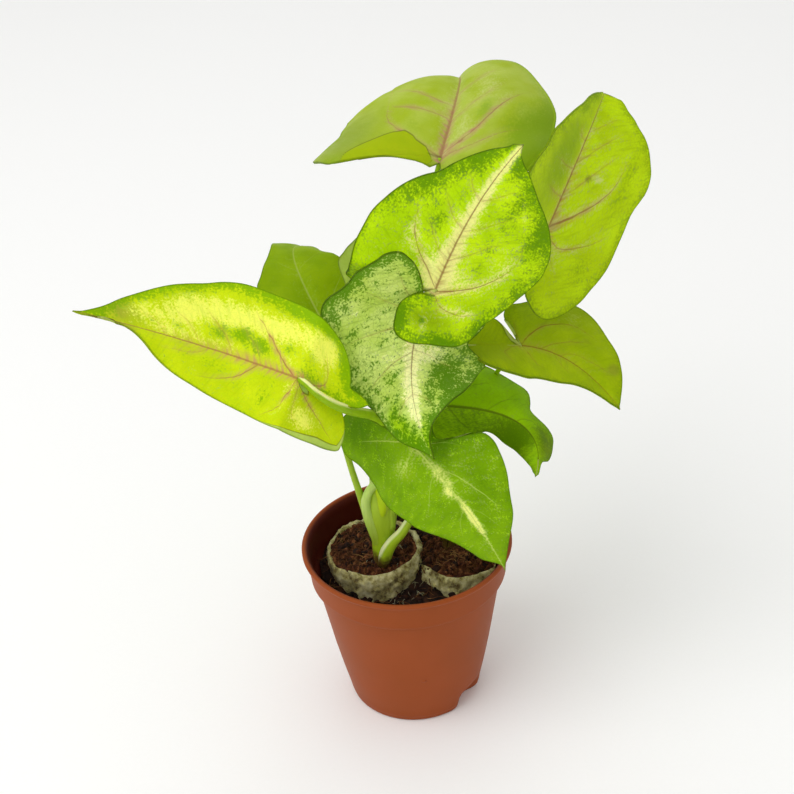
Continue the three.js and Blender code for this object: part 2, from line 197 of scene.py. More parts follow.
def glide(a, b, c, d, u):
    """From b to c while u goes from 0 to 1, on a smooth curve that comes from a and goes to d."""
    return 0.5 * (2 * b + (c - a) * u + (2 * a - 5 * b + 4 * c - d) * u ** 2
                  + (3 * b - a - 3 * c + d) * u ** 3)


def smooth_line(places, steps):
    """A smooth line through places, with this many steps from each to the next."""
    places = np.array(places, float)
    ends = np.vstack([2 * places[0] - places[1], places, 2 * places[-1] - places[-2]])
    u = np.linspace(0, 1, steps + 1)[:-1, None]
    return np.concatenate([glide(*ends[k:k + 4], u) for k in range(len(places) - 1)] + [places[-1:]])


def unit(v):
    return v / np.linalg.norm(v, axis=-1, keepdims=True)


def circle(sides):
    """The angles of evenly spaced points round a circle."""
    return np.arange(sides) * 2 * math.pi / sides


def ring_faces(rings, sides, first=0, closed=True):
    """Quads that join rings of corners, and the fans that close both ends."""
    faces = []
    for k in range(rings - 1):
        for i in range(sides):
            a = first + k * sides + i
            b = first + k * sides + (i + 1) % sides
            faces.append((a, b, b + sides, a + sides))
    if closed:
        last = first + (rings - 1) * sides
        faces.append(tuple(first + i for i in reversed(range(sides))))
        faces.append(tuple(last + i for i in range(sides)))
    return faces


def tube_corners(path, radii, sides, flat=1.0, across=(1.0, 0.0, 0.0)):
    """Corners of a round stem along a path; flat squeezes it across its first direction."""
    path = np.asarray(path, float)
    along = unit(np.gradient(path, axis=0))
    across = np.array(across, float)
    angles = circle(sides)
    rings = []
    for point, forward, radius in zip(path, along, radii):
        across = unit(across - forward * across.dot(forward))
        third = np.cross(forward, across)
        ring = flat * np.outer(np.cos(angles), across) + np.outer(np.sin(angles), third)
        rings.append(point + radius * ring)
    return np.concatenate(rings)


def wander(points, size_mm, seed=0.0):
    """Smooth noise between -1 and 1 with lumps of about size_mm, one value a point."""
    shift = Vector((seed, 0.37 * seed, -0.61 * seed))
    return np.array([noise.noise(Vector(p) / size_mm + shift) for p in np.asarray(points, float)])


# %% [markdown]
# ## The camera
# The plant stands on a table and is looked down on from the front, through a long lens, so the
# pot hardly tapers. The camera is tilted a little round its own axis as well.

# %% Camera
CAMERA_PLACE = (0.0, -0.365, 0.328)
CAMERA_DOWN = math.radians(32.0)
CAMERA_ROLL = math.radians(-3.84)
LENS_MM = 72.54
SENSOR_MM = 36.0


def make_camera():
    forward = Vector((0, math.cos(CAMERA_DOWN), -math.sin(CAMERA_DOWN)))
    right = Vector((1, 0, 0))
    up = right.cross(forward)
    rolled_right = math.cos(CAMERA_ROLL) * right + math.sin(CAMERA_ROLL) * up
    rolled_up = math.cos(CAMERA_ROLL) * up - math.sin(CAMERA_ROLL) * right
    data = bpy.data.cameras.new("studio_camera")
    data.lens = LENS_MM
    data.sensor_width = SENSOR_MM
    data.clip_start = 0.01
    camera = add_object("studio_camera", data)
    turn = Matrix((rolled_right, rolled_up, -forward)).transposed().to_4x4()
    camera.matrix_world = Matrix.Translation(CAMERA_PLACE) @ turn
    bpy.context.scene.camera = camera


make_camera()
print("lens:", LENS_MM, "mm")

# %% [markdown]
# ## The leaves: one shape, ten sets of numbers
# An arrowhead leaf is a midrib with a half blade on each side. Each half swells to its widest
# place near the stalk, then runs back in a lobe that bends in to the notch. In space the halves
# fold up or down from the midrib, curl towards their edge, and the lobes droop or sag. A formula
# with these few numbers gives every leaf, and the solids of the frame use the same one.
# The blades' places come first: the junction with the stalk, the middle and the tip of the
# midrib, and the way that the blade faces. Then come its halves, and the stalk's line.

# %% Leaf numbers, in millimetres and degrees
def half(width, lobe, offset, round_, station, fold, cup, droop, moves=(), sag=0.0):
    """Half a blade: the width, the lobe's length, its distance from the midrib and its roundness,
    and the widest place as a share of the midrib; then its bends in space, and how far its edge
    sags. The moves push the edge outwards at every 25th part of the way from tip to notch."""
    moves = np.array(list(moves) + [0.0] * (26 - len(moves)))
    return dict(width=width, lobe=lobe, offset=offset, round=round_, station=station,
                fold=fold, cup=cup, droop=droop, moves=moves, sag=sag)


LEAVES = {
    "leaf_long_left": dict(
        junction=(-24, -24.6, 122.5), middle=(-50.3, -20, 132.4), tip=(-75.9, -27.3, 147.4),
        face=(-5, 56), twist=-9,
        left=half(14, 22, 8, 6, 0.10, 3, -21, -52,
                  (0.6, -0.6, -1.9, -2.4, -1.6, -0.5, -0.1, -0.1, -0.4, -0.6, -0.8, -0.8, -0.6, -0.2, 0,
                   -0.3, -0.7, -1.1, -1.1, -0.9, -0.4, 1.8, 3.6, 2.0, 0.5)),
        right=half(19, 19, 3, 0, 0.28, 9, -5, -27,
                  (-0.2, 0.2, 0.5, 1, 1, 0.8, 0.4, -0.1, -0.3, 0.2, 0.3, 0, -0.1, 0, -0.1, -0.6, -1, -1.6,
                   -3.1, -4.8, -5.0, 1.1, 2.9, 3.1, 2.4, 1.0)),
        stalk=1.15, foot=(-7.2, -1, 57), rise=(-4.1, 1.7, 94.5), reach=(-9.2, -14.5, 113.2)),
    "leaf_centre": dict(
        junction=(11.3, -13.7, 139), middle=(21.8, -9.7, 158), tip=(34.4, -8.8, 174.2),
        face=(20, 29), twist=1,
        left=half(23, 15, 11, 5, 0.12, -7, 0, -60,
                  (1.8, 1.2, 1.6, 1.5, 1, 0.2, -0.8, -0.6, -0.4, -0.3, -0.2, 0.1, -0.1, 0.1, 0, -0.1, 0.2,
                   1.3, 1.6, 0.6, 0.1)),
        right=half(25, 15, -2, 9, 0.38, -6, -4, 25,
                  (-0.3, 0, 0.8, 0.7, 0.3, 0.1, -0.2, -0.6, -0.6, 0, 0.8, 0.4, -0.5, -0.9, -1.4, -1.7,
                   -0.2, 0.3, -0.4, -0.9, -0.3, 0, -0.2, 1.6, 1.7, 0.7)),
        stalk=1.15, foot=(-4, 2.4, 57), rise=(1.6, 1.9, 95.5), reach=(8.9, 3, 135.4)),
    "leaf_top_back": dict(
        junction=(15, 9.3, 164.3), middle=(22.1, 36.3, 173.3), tip=(20.7, 57, 162.4),
        face=(-1, 75), twist=2,
        left=half(40, 2, 30, 12, 0.02, 12, -56, -14,
                  (0, 0, 0.1, 1.1, 3.5, 5.3, 7, 6.9, 6.3, 5.2, 1.5, -1.9, -4.3, -5.8, -1.9, -1, -0.8,
                   -0.2, 1, 0.8, 0.4, 0, 0, 0.3, 0.7, 3.1), sag=7.0),
        right=half(27.7, 9, 16, 7, 0.20, 38, -76, -25,
                  (0, 0, 0, 0, 0, 0, 0, 0, 0, 0, 0, 0.2, 0.8, 0.6, 0.6, 0.4, -0.5, -0.9, -0.4, 0, 0, 0,
                   0.1, 0.8, 2.1, 2.2), sag=4.0),
        stalk=1.1, foot=(-5.2, 5.6, 57), rise=(-6, 12, 108), reach=(9.5, 4, 146)),
    "leaf_upper_right": dict(
        junction=(42, 10, 142.2), middle=(53.8, 18.2, 165), tip=(58, 22, 173.6),
        face=(37, 29), twist=-1,
        left=half(20.5, 14, 9, 5, 0.12, 36, -8, 0,
                  (1.5, 1, 1.6, 1.8, 1.7, 1.2, 1.2, 0.9, 0.6, 1.2, 0.8, 2.2, 2.4, 1.2, 0.3)),
        right=half(24.8, 19, 10, 5, 0.28, -1, -4, 7,
                  (5.1, 5.1, 3.4, 1.7, 1.2, 0.5, 0.4, 0, -0.4, 0, 0, -1.2, -0.7, -0.2, 0, -0.1, -0.1, 0.7,
                   1.4, 2.6, 4.6, 6.2, 6.4, 4.8, 2.0)),
        stalk=1.05, foot=(12.4, 9.8, 46), rise=(12, 17, 90), reach=(33, 27, 124)),
    "leaf_lower_right": dict(
        junction=(33.6, 0.5, 113), middle=(47, -2.5, 108.3), tip=(58.2, -13, 99.6),
        face=(19, 62), twist=0,
        left=half(19.5, 6, 6, 3, 0.30, 0, -20, -10,
                  (0.2, 0.7, 1.2, 1.4, 1.3, 0.9, 0.5, 0, -0.4, -0.4, -0.2, 0.1, 0.5, 0.3, -0.4, -0.9,
                   -1.4, -1.7, -0.7, -0.8, -1.6, -3.1, -4, -4.1, -2.9, -1)),
        right=half(13.7, 20, 4, 15, 0.20, 18, 4, 9,
                  (0.8, 0.7, 0.5, 0.1, -0.5, -0.7, -1, -0.9, -0.4, 0.1, 0.4, -0.3, -0.3, 0, -0.6, -2.7,
                   -4.5, -4.5, -4.3, -3.9, -3.4, -2.2, -0.6, 0.4, -0.5, -0.5)),
        stalk=0.95, foot=(14, 7.4, 46), rise=(15, 13, 84), reach=(28, 12.0, 99.5)),
    "leaf_pale_centre": dict(
        junction=(7.4, -12.4, 131.6), middle=(4, -16.3, 112.5), tip=(8.2, -32.5, 101),
        face=(-8, -8), twist=-1,
        left=half(18.5, 11, 10, 4.5, 0.18, -18, 0, -48,
                  (0.6, -0.2, -0.9, -1.2, -0.7, -0.2, 0, 0.4, 0.6, 0.9, 1.2, 1.8, -1.6, -4, -2.1, -0.4)),
        right=half(22, 20, 9.5, 6.5, 0.02, 5.5, 0, 10,
                  (0, 0.7, 1.5, 1.9, 1.1, -0.1, 0, 0.2, 0, 0.1, 0.9, 2.6, 2.8, 0.4, -1.2, -1.4, -2.1,
                   -2.1, -1.1, -0.8, -1.6, -1, -0.2, 0.4, 0.5, 0.2)),
        stalk=1.05, foot=(-7, 2.4, 57), rise=(-4.5, 5, 98), reach=(6, 4, 133)),
    "leaf_front": dict(
        junction=(2.9, -18, 96.6), middle=(16.2, -27, 80.8), tip=(26, -26, 58.8),
        face=(-10, 11), twist=0,
        left=half(16, 12, 8.5, 5, 0.20, -3, -20, -20,
                  (-0.1, 0.3, 0.6, 0.7, 0.7, 0.8, 0.8, 0.3, 0.1, 0.3, 0.5, 0.7, 0.9, -0.5, -6.1, -9.3,
                   -8.6, -4.4, -2.1, -0.1)),
        right=half(19.8, 18, 9.3, 7, 0.20, -3, -26, 11,
                  (-1.1, -0.1, 1.1, 0.4, -0.1, -0.4, -0.7, -0.8, -0.6, -0.6, -0.1, 0.2, 0.3, 0.2, 0, -0.5,
                   -0.4, 1.2, 0.6, -0.3, 0.4, 0.6, 0.2)),
        stalk=1.05, foot=(-4.2, -0.6, 57), rise=(-2.2, -2, 80), reach=(-2, -11, 97)),
    "leaf_folded": dict(
        junction=(12.8, -8.2, 101.2), middle=(33, -7.7, 93), tip=(35.3, -17, 82.6),
        face=(38, 34), twist=3,
        left=half(14.5, 8, 6, 4, 0.20, -15, -25, 0,
                  (1.2, 0.2, -0.1, 2, 2.4, 2.1, 1.8, -2.3, -3.7, -1.4, 1.1, 0.7, 1.5, 3.3, 3.2, 1.1,
                   0.1)),
        right=half(13, 8, 6, 4, 0.10, -60, -10, 0,
                  (0.9, 1.0, 1.7, 2.0, 2.0, 1.5, 0.7, -0.2, -1.2, -2.2, -3.3, -4.2, -4.3, -1.8, 1.5, 3.5,
                   3.1, 0.6, -1.1, -2.8, -3.5, -3.5, -3.2, -2.6)),
        stalk=0.85, foot=(10.8, 7.2, 46), rise=(8.9, 4.8, 75), reach=(3.4, -5.9, 93.8)),
    "leaf_back_left": dict(
        junction=(-17.6, 8.5, 117.5), middle=(-25.5, 27, 129), tip=(-23.5, 43, 125),
        face=(-14, 77), twist=-2,
        left=half(12.5, 9, 7, 4, 0.30, 5, -21, 0,
                  (0.1, 0.6, 2.8, 5, 2.7, 0.4, -1, -1.8, -2.1, -2.2, -1.8, -0.4)),
        right=half(17, 9, 7, 4, 0.20, 0, -27, -20,
                  (0, 0.1, 0.6, 1.2, 1.1, 0.3, 0.2, -0.4, -1, -1, -0.5, -0.1)),
        stalk=1.1, foot=(-10.2, -0.4, 60), rise=(-13.8, -0.8, 77), reach=(-19.0, 1.5, 98)),
    "leaf_small_back": dict(
        junction=(-1, 14, 126), middle=(-1.7, 18, 135), tip=(2, 21, 142),
        face=(-13, 30), twist=0,
        left=half(10.5, 5, 5, 3, 0.20, 5, -10, 0,
                  (0, 0, 0, 0, 0, 0.1, 0.3, 0.2, 0.2, 0.5, 0.9, 1.7, 1, 0.2)),
        right=half(12, 5, 5, 3, 0.20, 5, -10, 0),
        stalk=0.8, foot=(-8.4, 5.6, 57), rise=(-10, 10, 90), reach=(-2, 16, 108)),
}
HALVES = {"left": 1, "right": -1}  # the side of the midrib on which a half lies
SINUS = 1.5                  # how far behind the junction the notch ends
EDGE_STEPS = (50, 34, 24)    # points of the edge: to the widest place, to the lobe, to the notch
ROWS = 28                    # rows of corners from the midrib to the edge
BLADE_THICKNESS = 0.5


# %% [markdown]
# ## The formula of a blade
# First the outline of one half on flat paper: three curves, then the pushes that make it one
# real leaf's edge. Then each place of the flat half is carried into space: along the curved
# midrib, out and up from it by fold and curl, and down by droop and sag.

# %% The formula of a blade
TIP_HANDLE = (0.34, 0.16)    # how slender the tip is, as shares of the front part and the width
FULLNESS = (0.5, 0.55, 0.4)  # how full the front, the lobe's outside and its inside are


def blade_edge(length, h):
    """Edge of a half blade, as distances along and across the midrib, from tip to notch."""
    wide, back, off, width = h["station"] * length, -h["lobe"], h["offset"], h["width"]
    front, outside, inside = FULLNESS
    parts = [
        bezier((length, 0), (length - TIP_HANDLE[0] * (length - wide), TIP_HANDLE[1] * width),
               (wide + front * (length - wide), width), (wide, width), EDGE_STEPS[0]),
        bezier((wide, width), (wide - outside * (wide - back), width),
               (back, off + outside * (width - off)), (back, off), EDGE_STEPS[1]),
        bezier((back, off), (back, off - h["round"]),
               (-SINUS + inside * back, off - h["round"]), (-SINUS, 0), EDGE_STEPS[2]),
    ]
    edge = np.concatenate([part[1:] if k else part for k, part in enumerate(parts)])
    phase = edge_phase(edge)
    forward = unit(np.gradient(edge, axis=0))
    outward = np.stack([forward[:, 1], -forward[:, 0]], -1)
    free = smooth_step(0, 0.03, phase) * smooth_step(0, 0.03, 1 - phase)
    return edge + (free * smooth_values(h["moves"], phase))[:, None] * outward


def smooth_values(values, share):
    """Reads evenly spaced values at shares from 0 to 1, along a smooth curve."""
    padded = np.concatenate([values[:1], values, values[-1:]])
    place = np.clip(share, 0, 1) * (len(values) - 1)
    k = np.minimum(place.astype(int), len(values) - 2)
    return glide(*(padded[k + n] for n in range(4)), place - k)


def edge_phase(edge):
    """Share of the edge that lies behind each of its points."""
    steps = np.linalg.norm(np.diff(edge, axis=0), axis=1)
    return np.concatenate([[0], np.cumsum(steps)]) / steps.sum()


def bend(start, per_mm, distance):
    """Place on a line that starts at an angle and bends evenly: along and up."""
    if abs(per_mm) < 1e-6:
        return math.cos(start) * distance, math.sin(start) * distance
    end = start + per_mm * distance
    return (np.sin(end) - math.sin(start)) / per_mm, (math.cos(start) - np.cos(end)) / per_mm


def midrib_controls(leaf):
    start, middle, end = (np.array(leaf[k], float) for k in ("junction", "middle", "tip"))
    return start, 2 * middle - (start + end) / 2, end


def midrib_place(controls, share):
    start, control, end = controls
    return (1 - share) ** 2 * start + 2 * share * (1 - share) * control + share ** 2 * end


def midrib_length(leaf):
    line = midrib_place(midrib_controls(leaf), np.linspace(0, 1, 41)[:, None])
    return np.linalg.norm(np.diff(line, axis=0), axis=1).sum()


def blade_points(leaf, s, t, side, length):
    """Points of the blade's middle surface at s along and t across, on side 1 or -1."""
    start, control, end = controls = midrib_controls(leaf)
    h = leaf["left"] if side > 0 else leaf["right"]
    share = np.clip(s / length, 0, 1)[..., None]
    along = unit((1 - share) * (control - start) + share * (end - control))
    compass, height = (math.radians(a) for a in leaf["face"])
    look = np.array([math.sin(compass) * math.cos(height), -math.cos(compass) * math.cos(height),
                     math.sin(height)])
    up = unit(look - (along @ look)[..., None] * along)
    across = np.cross(up, along)
    turn = math.radians(leaf["twist"]) * share
    normal = np.cos(turn) * up + np.sin(turn) * across
    wide = np.cos(turn) * across - np.sin(turn) * up
    out, lift = bend(math.radians(h["fold"]), math.radians(h["cup"]) / h["width"], np.abs(t))
    behind = np.clip(-s, 0, None)
    droop = math.radians(h["droop"])
    sideways = side * np.where(t < 0, -1, 1) * out
    sag = h["sag"] * smooth_step(0.15, 1.05, np.abs(t) / h["width"]) * smooth_step(-4, 12, s)
    rise = lift + math.sin(droop) * behind - sag
    back = math.cos(droop) * behind
    return (midrib_place((start, control, end), share) + sideways[..., None] * wide
            + rise[..., None] * normal - back[..., None] * along)


# %% [markdown]
# ## Where things lie on a leaf
# The shader needs to know, at every place, how far it is from the midrib, from the edge and
# from the nearest vein. Veins are curves drawn on the flat blade: a strength, the share of the
# way to the edge at which the vein is lost, and a few places along and across, in millimetres.
# They are listed from the tip to the notch, so a place can be counted as lying between two.

# %% Veins and blade grid
VEIN_SIDE_REACH = 12.0     # how far the outermost veins are felt, in millimetres
VEIN_RUN_ON = 60.0         # how far a vein's line is carried on straight past its last place
VEIN_GAP = (0.2, 30)       # the smallest and the largest distance between two veins


def vein_line(places):
    line = smooth_line(places, 8)
    return np.vstack([line, line[-1] + VEIN_RUN_ON * unit(line[-1] - line[-2])])


def side_distance(places, line):
    """Distance to a line, positive on its notch side."""
    best, sign = np.full(len(places), 1e9), np.ones(len(places))
    for start, run in zip(line[:-1], np.diff(line, axis=0)):
        off = places - start
        along = np.clip(off @ run / (run @ run), 0, 1)
        distance = np.linalg.norm(off - along[:, None] * run, axis=1)
        turn = run[0] * off[:, 1] - run[1] * off[:, 0]
        nearer = distance < best
        best = np.where(nearer, distance, best)
        sign = np.where(nearer, np.where(turn >= 0, 1, -1), sign)
    return best * sign


def vein_count(s, t, share, veins):
    """Veins passed on the way from the tip, the gap between the two nearest, and strength."""
    places = np.stack([s.ravel(), t.ravel()], -1)
    distances = np.array([side_distance(places, vein_line(v[2])) for v in veins])
    passed = np.maximum.accumulate((distances > 0)[::-1], axis=0)[::-1].sum(axis=0)
    column, last = np.arange(len(places)), len(veins) - 1
    before = np.where(passed > 0, np.abs(distances[np.clip(passed - 1, 0, None), column]), VEIN_SIDE_REACH)
    after = np.where(passed <= last, np.abs(distances[np.clip(passed, None, last), column]), VEIN_SIDE_REACH)
    gap = np.clip(before + after, *VEIN_GAP)
    count = passed - 1 + np.clip(before / gap, 0, 0.999)
    nearest = np.clip(np.round(count), 0, last).astype(int)
    strength, reach = (np.array([v[k] for v in veins])[nearest] for k in (0, 1))
    power = strength * smooth_step(reach, reach - 0.35, share.ravel())
    return [field.reshape(s.shape) for field in (count, gap, power)]


def vein_distance(h):
    """Distance to the nearest vein, in millimetres."""
    return np.abs((h["vein"] + 0.5) % 1 - 0.5) * h["gap"]


def half_grid(leaf, side, length, edge, station, veins):
    """Positions and shader values of one half blade, as arrays of rows by columns."""
    share = np.linspace(0, 1, ROWS)[:, None]
    s = (1 - share) * station + share * edge[:, 0]
    t = share * edge[:, 1]
    share = np.broadcast_to(share, s.shape)
    vein, gap, power = vein_count(s, t, share, veins)
    rim = np.abs(side_distance(np.stack([s.ravel(), t.ravel()], -1), edge)).reshape(s.shape)
    return dict(points=blade_points(leaf, s, t, side, length), s=s, t=t, share=share, rim=rim,
                vein=vein, gap=gap, power=power, phase=np.broadcast_to(edge_phase(edge), s.shape))


def blade_grid(leaf, look):
    """Both halves of a blade on one set of rows that share the midrib."""
    length = midrib_length(leaf)
    edges = [blade_edge(length, leaf[own]) for own in HALVES]
    # A row starts on the midrib a little nearer to the stalk than where it meets the edge.
    starts = [np.clip(s - 0.5 * np.abs(t) * np.clip((length - s) / length, 0, 1), 0, length)
              for s, t in (edge.T for edge in edges)]
    station = (starts[0] + starts[1]) / 2
    station[-1] = 0
    return length, [half_grid(leaf, side, length, edge, station, look[own]["veins"])
                    for (own, side), edge in zip(HALVES.items(), edges)]


# %% [markdown]
# ## From a surface to a leaf
# A blade is about half a millimetre thick. Its surface is first given the low relief of a real
# leaf: a groove over the midrib and each side vein, soft cushions between them, and an edge
# that ripples. Then the surface is doubled, pushed apart along its normals, and closed by a rim.

# %% Relief and thickness
CUSHION_RISE = 0.22        # millimetres, all three
RIB_GROOVE = 0.16
VEIN_GROOVE = 0.10
RIPPLE = (0.3, 15.0)       # height and length of the edge's waves


def surface_normals(points, faces):
    """Unit normals of the corners of a triangle or quad mesh."""
    normals = np.zeros_like(points)
    for size in (3, 4):
        group = np.array([f for f in faces if len(f) == size], int)
        if len(group):
            a, b, c, d = points[group[:, 0]], points[group[:, 1]], points[group[:, 2]], points[group[:, -1]]
            face = np.cross(c - a, d - b) if size == 4 else np.cross(b - a, c - a)
            for column in range(size):
                np.add.at(normals, group[:, column], face)
    return unit(normals + 1e-12)


def blade_relief(h, side, length):
    """Height in millimetres to add along the normal of one half blade."""
    s, t, share, distance = h["s"], np.abs(h["t"]), h["share"], vein_distance(h)
    near_rib = np.exp(-(t / 1.1) ** 2) * (s > -0.5)
    near_vein = np.exp(-distance ** 2) * h["power"] * (1 - share ** 3)
    cushion = smooth_step(0.3, 3.5, distance) * smooth_step(0, 3, t) * smooth_step(0, 4, h["rim"])
    wave, size = RIPPLE
    around = h["phase"] * (length + 30)
    ripple = wave * smooth_step(0.45, 1.0, share) * np.sin(2 * math.pi * around / size + 1.7 * side)
    taper = smooth_step(0, 0.12, h["phase"]) * smooth_step(0, 0.1, 1 - h["phase"])
    return taper * (CUSHION_RISE * cushion + ripple) - RIB_GROOVE * near_rib - VEIN_GROOVE * near_vein


def blade_mesh(leaf, look):
    """Corners, faces and shader values of a closed blade."""
    length, halves = blade_grid(leaf, look)
    rows, columns = halves[0]["s"].shape
    # The halves share the tip, which is column 0, the midrib, which is row 0, and the notch's end.
    index = np.zeros((2, rows, columns), int)
    index[0, :, 1:] = 1 + np.arange(rows * (columns - 1)).reshape(rows, columns - 1)
    count = 1 + rows * (columns - 1)
    index[1] = index[0]
    inner = (rows - 1) * (columns - 2)
    index[1, 1:, 1:-1] = count + np.arange(inner).reshape(rows - 1, columns - 2)
    index[1, :, 0] = index[0, :, 0] = 0
    points = np.zeros((count + inner, 3))
    lift = np.zeros(count + inner)
    for k, side in ((1, -1), (0, 1)):
        points[index[k].ravel()] = halves[k]["points"].reshape(-1, 3)
        lift[index[k].ravel()] = blade_relief(halves[k], side, length).ravel()
    faces, corners = [], []
    for k in (0, 1):
        for i in range(rows - 1):
            for j in range(columns - 1):
                quad = [(i, j), (i, j + 1), (i + 1, j + 1), (i + 1, j)]
                if j == 0:
                    quad = quad[1:3] + [(i + 1, 0)]
                quad = quad[::-1] if k == 0 else quad
                faces.append([index[k][c] for c in quad])
                corners.append([(k,) + c for c in quad])
    points += lift[:, None] * surface_normals(points, faces)
    normals = surface_normals(points, faces)
    # The upper skin, the lower skin with its faces turned round, and the rim that joins them.
    under = len(points)
    solid = np.concatenate([points + normals * BLADE_THICKNESS / 2, points - normals * BLADE_THICKNESS / 2])
    all_faces = list(faces) + [[i + under for i in reversed(f)] for f in faces]
    all_corners = [(c, 0.0) for f in corners for c in f] + [(c, 1.0) for f in corners for c in reversed(f)]
    for k in (0, 1):
        for j in range(columns - 1):
            a, b = index[k][-1, j], index[k][-1, j + 1]
            strip = [a, b, b + under, a + under]
            places = [(k, rows - 1, j + n) for n in (0, 1, 1, 0)]
            order = (0, 1, 2, 3) if k == 0 else (3, 2, 1, 0)
            all_faces.append([strip[n] for n in order])
            all_corners += [(places[n], 0.0) for n in order]
    return length, halves, solid, all_faces, all_corners


# %% [markdown]
# ## What colours a leaf
# A young blade is lime green where it is thin. Dark green cells gather at its edge and in
# patches, as freckles that run together. Cream spreads from the midrib and the main veins, and
# the veins themselves are pink to brown near the stalk. Every leaf gets its own amounts.
# Patches are soft spots: along and across the midrib, reach along and across, and strength.

# %% Leaf looks
def spots(h, patches):
    """Sum of soft spots on one half blade."""
    total = np.zeros_like(h["s"])
    for along, across, reach_s, reach_t, strength in patches:
        total += strength * np.exp(-((h["s"] - along) / reach_s) ** 2 - ((h["t"] - across) / reach_t) ** 2)
    return total


def half_look(veins, dark=(), pale=(), bronze=(), hem=None, rim=None, pale_rim=None, turned=None):
    """What differs from half to half: veins, spots of three tones, the width of a turned hem at
    shares of the way along the edge, the dark margin's width and depth, a pale margin with its
    start, end and width, and the line, as places across and along, behind which the blade has
    turned over and shows its back."""
    return dict(veins=veins, dark=dark, pale=pale, bronze=bronze, hem=hem, rim=rim, pale_rim=pale_rim,
                turned=turned)


BASE_LOOK = dict(
    back="b9cc62", hem="b5cc4a", edge="4c6408", mottle=0.05, halo_width=3.2, vein_width=0.30, rib_width=0.5,
    rib_reach=45.0, blush_tone="b8904c", blush_reach=26.0, flecks=0.0, fleck="b4d82c", grain=0.7,
    soft_dark=0.35, light=0.3, bloom=0.0, gloss=0.05, minor=0.2, edge_line=0.6, hem_line=0.16, soft=0.42,
    speckle=2.4, blotch=0.3,
)

